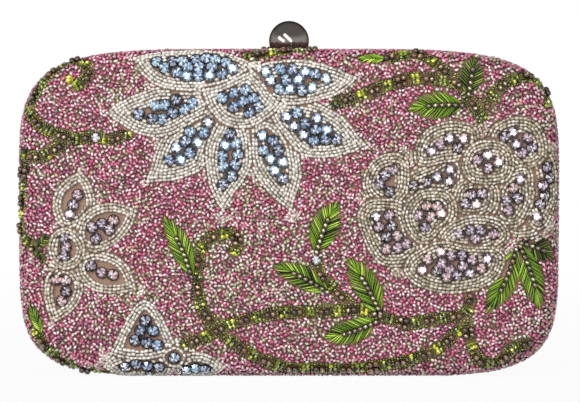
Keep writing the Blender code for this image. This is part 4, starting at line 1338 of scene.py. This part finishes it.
def quilt_wadding():
    """Needled polyester wadding."""
    finish = Finish("polyester_wadding", srgb(226, 222, 210), roughness=0.95)
    finish.set("Sheen Weight", 0.3)
    fibres = finish.noise(1800, detail=4, stretch=(1, 0.3, 1))
    finish.set("Base Color", finish.mix(fibres, (*srgb(196, 190, 176), 1), (*srgb(238, 235, 226), 1)))
    finish.bump(fibres, distance=0.0003)
    return finish


def moulded_shell():
    """Black moulded board with a fine grain."""
    finish = Finish("moulded_black_shell", srgb(44, 43, 44), roughness=0.6)
    grain = finish.noise(2200, detail=3)
    finish.set("Base Color", finish.mix(grain, (*srgb(34, 33, 34), 1), (*srgb(58, 56, 57), 1)))
    finish.set("Roughness", 0.5 + grain * 0.22)
    finish.bump(grain, distance=0.00005)
    return finish


def metal_finish(name, colour, roughness, stretch, brushed=0.12):
    """Plated metal: brush marks, patches rubbed lighter, and a slightly uneven gloss."""
    finish = Finish(name, colour, roughness, metallic=1.0)
    marks = finish.noise(1400, detail=3, stretch=stretch)
    rubbed = finish.noise(120, detail=3)
    worn = finish.mix(rubbed, shaded(colour, 0.82), shaded(colour, 1.28))
    finish.set("Base Color", finish.mix(marks, shaded(colour, 0.9), worn))
    finish.set("Roughness", roughness - brushed / 2 + marks * brushed + rubbed * (brushed / 2))
    finish.bump(marks, distance=0.00001, strength=0.5)
    return finish


def gunmetal():
    """The frames' dark plating, brushed along their length."""
    colour = bpy.context.scene.clutch_metals.gunmetal
    return metal_finish("brushed_gunmetal", colour, roughness=0.28, stretch=(0.2, 1, 1))


def ball_metal():
    """The ball's polished dark plating."""
    colour = bpy.context.scene.clutch_metals.ball
    finish = metal_finish("polished_gunmetal", colour, 0.1, stretch=(1, 1, 0.4), brushed=0.04)
    finish.set("Specular Tint", (*DARK_EDGE, 1))
    return finish


def nickel():
    """Plain nickel on small parts."""
    colour = bpy.context.scene.clutch_metals.nickel
    return metal_finish("satin_nickel", colour, roughness=0.3, stretch=(0.3, 1, 1))


def spring_wire():
    """Drawn spring steel."""
    colour = bpy.context.scene.clutch_metals.nickel
    return metal_finish("drawn_spring_wire", colour, roughness=0.34, stretch=(1, 1, 1))


FINISHES = {
    "floss": silk_thread, "ground": ground_cloth, "satin": satin_cloth, "wadding": quilt_wadding,
    "shell": moulded_shell, "gunmetal": gunmetal, "ball": ball_metal, "nickel": nickel,
    "wire": spring_wire,
}


@functools.lru_cache(maxsize=None)
def material(name):
    """The named material, made the first time that it is asked for."""
    if name in TINTED_FINISHES:
        return tinted_finish(**TINTED_FINISHES[name]).material
    return FINISHES[name]().material


# Making pieces

# A stride is how many samples it is from one that is kept to the next. A cut share is what the rounded
# corners leave of a sheet's width by height. The wadding's waves are in radians a metre, and the
# lining's in waves round the tray
RING_STRIDE = 8
LINING_STRIDE = 4
PROFILE_STRIDE = 6
FACE_SHARES = (0.1, 0.3, 0.5, 0.7, 0.85, 0.95)
TUCK_STEPS = 4
FLUFF_ACROSS = 410
FLUFF_UP = 370
FLUFF_SKEW = 90
FLUFF_STEPS = 2
LINING_INSET = 0.007
LINING_WALL = 0.0006
LINING_CORNER = 0.0034
CORNER_RINGS = 7
WALL_RINGS = 9
PUCKER = 0.00022
PUCKERS = 46
PUCKER_SWAY = 2
PUCKER_SWAYS = 5
PUCKER_SWELLS = 13
BALL_SIDES = 72
BALL_RINGS = 40
BALL_SHARP = TURN / 9


def add_piece(name, mesh, side_or_body, finish):
    """A finished object that rides on a half, or on another named body."""
    piece = bpy.data.objects.new(name, mesh)
    bpy.context.scene.collection.objects.link(piece)
    mesh.materials.append(material(finish))
    body = f"{HALVES[side_or_body]}_half" if side_or_body in HALVES else side_or_body
    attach(piece, body)
    return piece


def finish_builder(name, builder):
    """A bmesh as a smooth mesh, its faces outward."""
    bmesh.ops.recalc_face_normals(builder, faces=builder.faces)
    mesh = bpy.data.meshes.new(name)
    builder.to_mesh(mesh)
    builder.free()
    mesh.shade_smooth()
    return mesh


def laid_points(shape, rows, side):
    """The points of a copy of the shape at each row, kept low at the ball and the foot."""
    here, along, across, out = SURFACES[side].frames(rows[:, PLACE], rows[:, TURNED])
    held = (np.abs(here) < BALL_ROOM).all(1) | (here[:, 2] < FOOT_ROOM)
    top = rows[:, LIFT] + rows[:, SIZES][:, 2]
    low = np.where(held, np.minimum(1, BEAD_DEPTH / top), 1)[:, None]
    centre = here + out * (rows[:, LIFT, None] * low)
    tilt = rows[:, TILT, None]
    ahead = along * np.cos(tilt) + out * np.sin(tilt)
    up = out * np.cos(tilt) - along * np.sin(tilt)
    scaled = shape.points[None] * (rows[:, SIZES] * low)[:, None]
    return centre[:, None] + np.einsum("nvk,nkj->nvj", scaled, np.stack((ahead, across, up), 1))


def corner_tints(shape, rows, finish):
    """Each face corner's colour: its row's own, darkened by painted shade and lightened by a painted
    highlight (glint).
    """
    # Painted shade darkens a corner, and a painted highlight mixes the glint colour in
    colours = rows[:, None, COLOUR] * shape.marks[None, :, 0, None]
    light = np.array(PAINTED_GLINT_COLOURS.get(finish, LINING_PAINTED_GLINT))
    colours = colours + (light - colours) * shape.marks[None, :, 1, None] * rows[:, None, PAINTED_GLINT]
    return np.concatenate((np.clip(colours, 0, 1), np.ones((*colours.shape[:2], 1))), axis=2)


def repeat(name, shape, rows, side, finish):
    """One piece that holds a copy of the shape at each of the plan's rows."""
    count, verts = len(rows), len(shape.points)
    mesh = bpy.data.meshes.new(name)
    mesh.vertices.add(count * verts)
    mesh.vertices.foreach_set("co", laid_points(shape, rows, side).astype(np.float32).ravel())
    corners = (np.arange(count)[:, None] * verts + shape.corners[None]).ravel()
    mesh.loops.add(len(corners))
    mesh.loops.foreach_set("vertex_index", corners.astype(np.int32))
    counts = np.tile(shape.counts, count)
    mesh.polygons.add(len(counts))
    mesh.polygons.foreach_set("loop_start", (np.cumsum(counts) - counts).astype(np.int32))
    mesh.update(calc_edges=True)
    mesh.polygons.foreach_set("use_smooth", np.full(len(counts), shape.smooth))
    tint = mesh.color_attributes.new("bead_colour_with_painted_light", "FLOAT_COLOR", "CORNER")
    tint.data.foreach_set("color", corner_tints(shape, rows, finish).astype(np.float32).ravel())
    across = math.ceil(math.sqrt(count))
    cell = np.column_stack((np.arange(count) % across, np.arange(count) // across))
    spots = (cell[:, None] + shape.cells()[None]) / across
    mesh.uv_layers.new(name="OFBake").uv.foreach_set("vector", spots.astype(np.float32).ravel())
    mesh.validate()
    add_piece(name, mesh, side, finish)


def repeat_on_covers(label, shape, finish):
    """The same pieces on both covers, split across the width where they are many."""
    rows = embroidery().batches[label].rows()
    order = np.argsort(rows[:, 0], kind="stable")
    parts = np.array_split(order, len(rows) // BEADS_PER_PIECE + 1)
    for side, half in HALVES.items():
        for index, part in enumerate(parts):
            ending = f"_{index + 1}" if len(parts) > 1 else ""
            repeat(f"{half}_{label}{ending}", shape, rows[part], side, finish)


def ring_points(side, offset, depth, share=1.0, stride=RING_STRIDE):
    """Points round the cover: the rim moved out by an offset, at a depth, then drawn in to a share."""
    line = (RIM + RIM_OUT * offset - MIDDLE)[::stride] * share + MIDDLE
    return [Vector((x, side * depth, z)) for x, z in line]


def extrude_to(builder, edges, verts, points):
    """Extrudes a loop of edges onto these points. Gives the new edges and vertices."""
    made = bmesh.ops.extrude_edge_only(builder, edges=edges)["geom"]
    found = set(verts_in(made))
    new_verts = []
    for old, point in zip(verts, points):
        new = next(edge.other_vert(old) for edge in old.link_edges if edge.other_vert(old) in found)
        new.co = point
        new_verts.append(new)
    return edges_in(made), new_verts


def closed_skin(name, rings):
    """A closed tray extruded ring after ring, its first and last ring filled to a pole."""
    builder = bmesh.new()
    verts = [builder.verts.new(point) for point in rings[0]]
    first = builder.faces.new(verts)
    edges = list(first.edges)
    for points in rings[1:]:
        edges, verts = extrude_to(builder, edges, verts, points)
    last = builder.faces.new(verts)
    bmesh.ops.poke(builder, faces=[first, last])
    return finish_builder(name, builder)


def cover_rings(side, below):
    """Rings of a surface that lies this far under the cover."""
    face = FACE_DEPTH - below
    rings = [ring_points(side, 0, face + CROWN * (1 - share**2), share) for share in FACE_SHARES]
    profile = edge_profile(below)[::PROFILE_STRIDE]
    return rings + [ring_points(side, lateral, depth) for lateral, depth in profile]


def make_cover_fabric(side):
    """The nude fabric that the beads are sewn to, stretched over the padding, its edge drawn in."""
    half = HALVES[side]
    outer = cover_rings(side, BEAD_DEPTH)
    mouth = ring_points(side, *edge_profile(BEAD_DEPTH)[-1])
    middle = Vector((0, 0, WIDEST_HEIGHT))
    tucked = [point + (middle - point).normalized() * STEP * TUCK_STEPS for point in mouth]
    inner = cover_rings(side, BEAD_DEPTH + FABRIC_THICKNESS)
    mesh = closed_skin(f"{half}_cover_fabric", [*outer, mouth, tucked, *inner[::-1]])
    piece = add_piece(f"{half}_cover_fabric", mesh, side, "ground")
    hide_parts(f"{half}_cover")


def make_wadding(side):
    """The padding: the node's form, soft and a little uneven between the fabric and the shell."""
    half = HALVES[side]
    builder = bmesh.new()
    builder.from_mesh(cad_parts[f"{half}_padding"].data)
    bmesh.ops.remove_doubles(builder, verts=builder.verts, dist=STEP / 5)
    bmesh.ops.subdivide_edges(builder, edges=builder.edges, cuts=1, use_grid_fill=True)
    builder.normal_update()
    for vert in builder.verts:
        across, up = vert.co.x, vert.co.z
        swell = math.sin(across * FLUFF_ACROSS) * math.sin(up * FLUFF_UP + across * FLUFF_SKEW)
        vert.co -= vert.normal * STEP * FLUFF_STEPS * (1 + swell)
    mesh = finish_builder(f"{half}_wadding", builder)
    piece = add_piece(f"{half}_wadding", mesh, side, "wadding")
    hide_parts(f"{half}_padding")


def lining_rings(side, deep, mouth, inward):
    """Rings of the lining's outer side, or of a surface this far inward: floor, corner and wall."""
    edge = EDGE_ROUND - LINING_INSET
    bend = edge - LINING_CORNER
    corner = LINING_CORNER - inward
    places = [(bend, deep - inward, share) for share in FACE_SHARES]
    for turn in np.linspace(0, TURN / 4, CORNER_RINGS):
        depth = deep - LINING_CORNER + corner * math.cos(turn)
        places.append((bend + corner * math.sin(turn), depth, 1))
    for share in np.linspace(0, 1, WALL_RINGS)[1:]:
        depth = deep - LINING_CORNER + (mouth - deep + LINING_CORNER) * share
        places.append((edge - inward, depth, 1))
    return [ring_points(side, *place, LINING_STRIDE) for place in places]


def make_lining(side):
    """Satin glued into the tray, its wall puckered more and more towards the edge that is tucked in."""
    half = HALVES[side]
    low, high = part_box(f"{half}_lining")
    deep = max(abs(low.y), abs(high.y))
    mouth = min(abs(low.y), abs(high.y))
    inner = lining_rings(side, deep, mouth, LINING_WALL)
    floor = len(FACE_SHARES)
    for level, points in enumerate(inner):
        depth_share = max(0, level - floor) / (len(inner) - floor)
        for index, point in enumerate(points):
            angle = TURN * index / len(points)
            fold = math.sin(PUCKERS * angle + PUCKER_SWAY * math.sin(PUCKER_SWAYS * angle))
            fold *= math.sin(PUCKER_SWELLS * angle + 1)
            amount = PUCKER * depth_share * (1 + fold)
            point += (Vector((0, point.y, WIDEST_HEIGHT)) - point).normalized() * amount
    mesh = closed_skin(f"{half}_satin_lining", lining_rings(side, deep, mouth, 0) + inner[::-1])
    piece = add_piece(f"{half}_satin_lining", mesh, side, "satin")
    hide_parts(f"{half}_lining")


def make_ball():
    """The polished ball, flat where it sits on its collar."""
    low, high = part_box("clasp_ball")
    radius = (high.x - low.x) / 2
    centre = ((low.x + high.x) / 2, (low.y + high.y) / 2, high.z - radius)
    builder = bmesh.new()
    bmesh.ops.create_uvsphere(builder, u_segments=BALL_SIDES, v_segments=BALL_RINGS, radius=radius)
    bmesh.ops.translate(builder, vec=centre, verts=builder.verts)
    geometry = builder.verts[:] + builder.edges[:] + builder.faces[:]
    cut = bmesh.ops.bisect_plane(
        builder, geom=geometry, dist=STEP / 50, plane_co=(0, 0, low.z), plane_no=(0, 0, 1),
        clear_inner=True
    )
    bmesh.ops.contextual_create(builder, geom=edges_in(cut["geom_cut"]))
    mesh = finish_builder("polished_ball", builder)
    mesh.set_sharp_from_angle(angle=BALL_SHARP)
    piece = add_piece("polished_ball", mesh, "latch", "ball")
    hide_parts("clasp_ball")


KEPT_NODES = {
    "gunmetal": ("front_frame", "back_frame", "latch_lever", "clasp_collar"),
    "shell": ("front_shell", "back_shell"),
    "nickel": (
        "hinge_left_back_leaf", "hinge_left_front_leaf", "hinge_left_pin", "hinge_right_back_leaf",
        "hinge_right_front_leaf", "hinge_right_pin", "latch_base", "latch_pin", "latch_rivet_left",
        "latch_rivet_right", "catch_plate", "catch_rivet_left", "catch_rivet_right", "clasp_stud",
    ),
    "wire": ("latch_spring",),
}


def dress_hardware():
    """Gives the frame's own metal and moulded parts their finishes."""
    for finish, nodes in KEPT_NODES.items():
        for node in nodes:
            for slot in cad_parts[node].material_slots:
                slot.material = material(finish)


# The stage

# The floor turns clear between the two reaches of WHITE_REACH. Between the heights of HORIZON what is
# seen of the world turns from white to grey, and between those of SKYLINE its light starts
SENSOR = 0.036
FLOOR_REACH = 2.6
SWEEP_START = 2.1
SWEEP_RADIUS = 0.6
SWEEP_STEPS = 16
CAMERA_REACH = (0.01, 20)
PAPER_WAVES = 40
PAPER_UNEVEN = 0.01
LIGHT_AIM = (0, 0, 0.11)
WHITE_REACH = (0.15, 0.5)
HORIZON = (0.2, 0.5)
SKYLINE = (-0.04, 0.0)

# Each lamp's ends, its width, its power, and whether metal and glass mirror it

LAMPS = {
    "top_softbox": ((0, 0.05, 1.15), (0, -0.75, 1.05), 1.2, 8, False),
    "back_softbox": ((-0.6, 1.0, 0.9), (0.6, 1.0, 0.9), 0.6, 8, False),
    "left_strip": ((-0.87, -0.38, 0.43), (-0.46, -0.87, 0.07), 0.22, 3, True),
    "right_strip": ((-0.46, -0.66, 0.72), (0.24, -0.96, 0.05), 0.22, 4.4, True),
}


def make_camera(stage):
    """A long lens from the photograph's side, a little above."""
    camera = bpy.data.objects.new("photo_camera", bpy.data.cameras.new("photo_camera"))
    bpy.context.scene.collection.objects.link(camera)
    camera.data.sensor_width = SENSOR * 1000
    camera.data.lens = SENSOR * 1000 * stage.distance * PHOTO_PX_PER_METRE / PHOTO_WIDTH_PX
    back = Vector((0, -math.cos(stage.elevation), math.sin(stage.elevation)))
    camera.location = PHOTO_AIM + back * stage.distance
    camera.rotation_euler = (-back).to_track_quat("-Z", "Y").to_euler()
    camera.data.clip_start, camera.data.clip_end = CAMERA_REACH
    bpy.context.scene.camera = camera


def sweep_mesh():
    """The floor's mesh: flat, then curving up behind into a backdrop."""
    builder = bmesh.new()
    front = [builder.verts.new((x, -FLOOR_REACH, 0)) for x in (-FLOOR_REACH, FLOOR_REACH)]
    edge = builder.edges.new(front)

    def onward(edge, vec):
        made = bmesh.ops.extrude_edge_only(builder, edges=[edge])["geom"]
        verts = verts_in(made)
        bmesh.ops.translate(builder, verts=verts, vec=vec)
        return next(each for each in edges_in(made) if set(each.verts) == set(verts))

    edge = onward(edge, (0, FLOOR_REACH + SWEEP_START, 0))
    turned = bmesh.ops.spin(
        builder, geom=[edge, *edge.verts], cent=(0, SWEEP_START, SWEEP_RADIUS), axis=(1, 0, 0),
        angle=TURN / 4, steps=SWEEP_STEPS
    )
    onward(edges_in(turned["geom_last"])[0], (0, 0, FLOOR_REACH))
    bmesh.ops.remove_doubles(builder, verts=builder.verts, dist=STEP)
    return finish_builder("floor_sweep", builder)


def studio_paper(stage):
    """Paper that the camera and the lamps reach through.

    So a half which swings below the floor still shows, and what stays of the floor is the shadow over
    the world's white.
    """
    finish = Finish("studio_paper", stage.paper, roughness=0.9)
    grain = finish.noise(PAPER_WAVES, detail=3)
    dark, light = shaded(stage.paper, 1 - PAPER_UNEVEN), shaded(stage.paper, 1 + PAPER_UNEVEN)
    finish.set("Base Color", finish.mix(grain, dark, light))
    clear = finish.node("ShaderNodeBsdfTransparent")
    place = {0: finish.place()}
    away = finish.node("ShaderNodeVectorMath", {"operation": "LENGTH"}, place, output="Value")
    share = finish.seen() * finish.ease(away, *WHITE_REACH, stage.whiteness, 1.0)
    lit = finish.node("ShaderNodeLightPath", output="Is Shadow Ray")
    share = share.maths("MAXIMUM", share, lit)
    paper = Value(finish, finish.shader.outputs[0])
    both = finish.node("ShaderNodeMixShader", {}, {0: share, 1: paper, 2: clear})
    finish.set("Surface", both, finish.tree.nodes["Material Output"])
    return finish.material


def make_sweep(stage):
    """The floor and backdrop."""
    sweep = bpy.data.objects.new("floor_sweep", sweep_mesh())
    bpy.context.scene.collection.objects.link(sweep)
    sweep.data.materials.append(studio_paper(stage))


def make_light(name, start, stop, width, power, mirrored):
    """A soft lamp from one point to another, this wide, turned to the ball."""
    start, stop = Vector(start), Vector(stop)
    lamp = bpy.data.lights.new(name, "AREA")
    lamp.shape = "RECTANGLE"
    lamp.size, lamp.size_y = width, (stop - start).length
    lamp.energy = power
    light = bpy.data.objects.new(name, lamp)
    light.visible_glossy = mirrored
    bpy.context.scene.collection.objects.link(light)
    middle = (start + stop) / 2
    along = (stop - start).normalized()
    across = along.cross(middle - Vector(LIGHT_AIM)).normalized()
    turned = Matrix((across, along, across.cross(along))).transposed().to_4x4()
    light.matrix_world = Matrix.Translation(middle) @ turned


def make_world(stage):
    """Even grey light from above. What is seen of it near and below the horizon is white."""
    world = bpy.data.worlds.new("studio_world")
    bpy.context.scene.world = world
    nodes = Nodes(world, "Background")
    nodes.set("Color", (*WHITE, 1))
    direction = nodes.node("ShaderNodeTexCoord", output="Generated")
    height = nodes.node("ShaderNodeSeparateXYZ", {}, {"Vector": direction}, output="Z")
    light = nodes.ease(height, *SKYLINE, 0.0, stage.ambient)
    white = nodes.ease(height, *HORIZON, 1.0, stage.ambient)
    nodes.set("Strength", light + nodes.seen() * (white - light))


# Settings


def length(name, description, default):
    """A length that a user may change."""
    return FloatProperty(
        name=name, description=description, default=default, min=0, unit="LENGTH", precision=5
    )


def colour(name, description, default):
    """A colour that a user may change."""
    return FloatVectorProperty(
        name=name, description=description, default=default, size=3, subtype="COLOR", min=0, max=1
    )


class ClutchBeads(bpy.types.PropertyGroup):
    """Sizes of the seed beads."""

    pitch: length("Pitch", "Least distance between the ground's seed beads", 0.00095)
    width: length("Width", "Diameter of a seed bead", 0.00126)
    length: length("Length", "Length of a seed bead along its hole", 0.0015)


class ClutchStones(bpy.types.PropertyGroup):
    """Sizes of the cut stones."""

    blue_size: length("Blue stones", "Diameter of the blue stones over their cups", 0.0039)
    lilac_size: length("Lilac stones", "Diameter of the lilac stones over their cups", 0.0037)


class ClutchThreads(bpy.types.PropertyGroup):
    """Colours of the cloths."""

    fabric: colour("Fabric", "Ground fabric under the beads", srgb(198, 158, 136))
    lining: colour("Lining", "Satin lining", srgb(206, 184, 158))


class ClutchMetals(bpy.types.PropertyGroup):
    """Colours of the metals."""

    gunmetal: colour("Gunmetal", "Frames and lever", srgb(92, 88, 86))
    ball: colour("Ball", "Polished ball", srgb(134, 128, 122))
    nickel: colour("Nickel", "Hinges, latch bracket and catch", srgb(172, 170, 166))


class ClutchStage(bpy.types.PropertyGroup):
    """Camera and light."""

    distance: length("Distance", "From the camera to the front of the clutch", 0.885)
    elevation: FloatProperty(
        name="Elevation", description="The camera's height as an angle", default=math.radians(3),
        subtype="ANGLE"
    )
    ambient: FloatProperty(
        name="Ambient", description="Strength of the light from all round", default=0.38, min=0
    )
    whiteness: FloatProperty(
        name="Whiteness", description="How far the floor that is seen is plain white", default=0.95,
        min=0, max=1, subtype="FACTOR"
    )
    paper: colour("Paper", "Floor and backdrop", srgb(160, 159, 157))


SETTINGS = {
    "clutch_beads": ClutchBeads, "clutch_stones": ClutchStones, "clutch_threads": ClutchThreads,
    "clutch_metals": ClutchMetals, "clutch_stage": ClutchStage,
}


# Steps


class CLUTCH_OT_stage(bpy.types.Operator):
    """Make the camera, the floor and the lights"""

    bl_idname = "clutch.stage"
    bl_label = "Stage"

    def execute(self, context):
        stage = context.scene.clutch_stage
        context.scene.view_settings.view_transform = "Standard"
        make_camera(stage)
        make_sweep(stage)
        make_world(stage)
        for name, lamp in LAMPS.items():
            make_light(name, *lamp)
        return {"FINISHED"}


class CLUTCH_OT_covers(bpy.types.Operator):
    """Stretch the fabric over the wadding on both halves"""

    bl_idname = "clutch.covers"
    bl_label = "Covers"

    def execute(self, context):
        for side in HALVES:
            make_cover_fabric(side)
            make_wadding(side)
        return {"FINISHED"}


class CLUTCH_OT_linings(bpy.types.Operator):
    """Line both halves with satin"""

    bl_idname = "clutch.linings"
    bl_label = "Linings"

    def execute(self, context):
        for side in HALVES:
            make_lining(side)
        return {"FINISHED"}


class CLUTCH_OT_petals(bpy.types.Operator):
    """Edge the petals with rows of clear beads"""

    bl_idname = "clutch.petals"
    bl_label = "Petal beads"

    def execute(self, context):
        repeat_on_covers("petal_beads", bead_shape(end=0.88, painted_end_and_underside_shade=0.95, ends_painted_glint=0.3), "silver")
        return {"FINISHED"}


class CLUTCH_OT_stones(bpy.types.Operator):
    """Set the cut stones in their cups"""

    bl_idname = "clutch.stones"
    bl_label = "Stones"

    def execute(self, context):
        repeat_on_covers("stones", stone_shape(), "crystal")
        cups = Batch()
        cups.parts = [embroidery().batches["stones"].rows()]
        cups.parts[0][:, COLOUR] = CUPS
        embroidery().batches["stone_cups"] = cups
        repeat_on_covers("stone_cups", cup_shape(), "cup")
        return {"FINISHED"}


class CLUTCH_OT_vines(bpy.types.Operator):
    """Sew the vines of green and bronze beads"""

    bl_idname = "clutch.vines"
    bl_label = "Vines"

    def execute(self, context):
        repeat_on_covers("green_beads", round_shape(across=6, down=4), "peridot")
        repeat_on_covers("bronze_beads", bead_shape(sides=8, cuts=3, end=0.62), "bronze")
        repeat_on_covers("vine_fringe", bead_shape(sides=5, end=0.7), "bronze")
        return {"FINISHED"}


class CLUTCH_OT_leaves(bpy.types.Operator):
    """Embroider the leaves and their ribs"""

    bl_idname = "clutch.leaves"
    bl_label = "Leaves"

    def execute(self, context):
        repeat_on_covers("leaf_stitches", stitch_shape(), "floss")
        repeat_on_covers("leaf_ribs", bead_shape(sides=8, cuts=3, end=0.7), "bronze")
        return {"FINISHED"}


class CLUTCH_OT_ground(bpy.types.Operator):
    """Cover the rest with seed beads"""

    bl_idname = "clutch.ground"
    bl_label = "Ground beads"

    def execute(self, context):
        repeat_on_covers("ground_beads", bead_shape(), "lustre")
        return {"FINISHED"}


class CLUTCH_OT_hardware(bpy.types.Operator):
    """Finish the frames, the hinges and the latch, and polish the ball"""

    bl_idname = "clutch.hardware"
    bl_label = "Hardware"

    def execute(self, context):
        dress_hardware()
        make_ball()
        return {"FINISHED"}


STEPS = (
    CLUTCH_OT_stage, CLUTCH_OT_covers, CLUTCH_OT_linings, CLUTCH_OT_petals, CLUTCH_OT_stones,
    CLUTCH_OT_vines, CLUTCH_OT_leaves, CLUTCH_OT_ground, CLUTCH_OT_hardware,
)


class CLUTCH_PT_panel(bpy.types.Panel):
    """Lists the settings and the steps"""

    bl_idname = "CLUTCH_PT_panel"
    bl_label = "Beaded Box Clutch"
    bl_space_type = "VIEW_3D"
    bl_region_type = "UI"
    bl_category = "Clutch"

    def draw(self, context):
        for name, group in SETTINGS.items():
            settings = getattr(context.scene, name)
            for key in group.__annotations__:
                self.layout.prop(settings, key)
        for step in STEPS:
            self.layout.operator(step.bl_idname)


def register():
    """Adds the settings, the steps and the panel."""
    for each in (*SETTINGS.values(), *STEPS, CLUTCH_PT_panel):
        bpy.utils.register_class(each)
    for name, group in SETTINGS.items():
        setattr(bpy.types.Scene, name, PointerProperty(type=group))


def unregister():
    """Takes them away again."""
    for name in SETTINGS:
        delattr(bpy.types.Scene, name)
    for each in (CLUTCH_PT_panel, *STEPS[::-1], *SETTINGS.values()):
        bpy.utils.unregister_class(each)


def main():
    """Runs every step in order."""
    register()
    for step in STEPS:
        group, name = step.bl_idname.split(".")
        getattr(getattr(bpy.ops, group), name)()


if __name__ == "__main__":
    main()
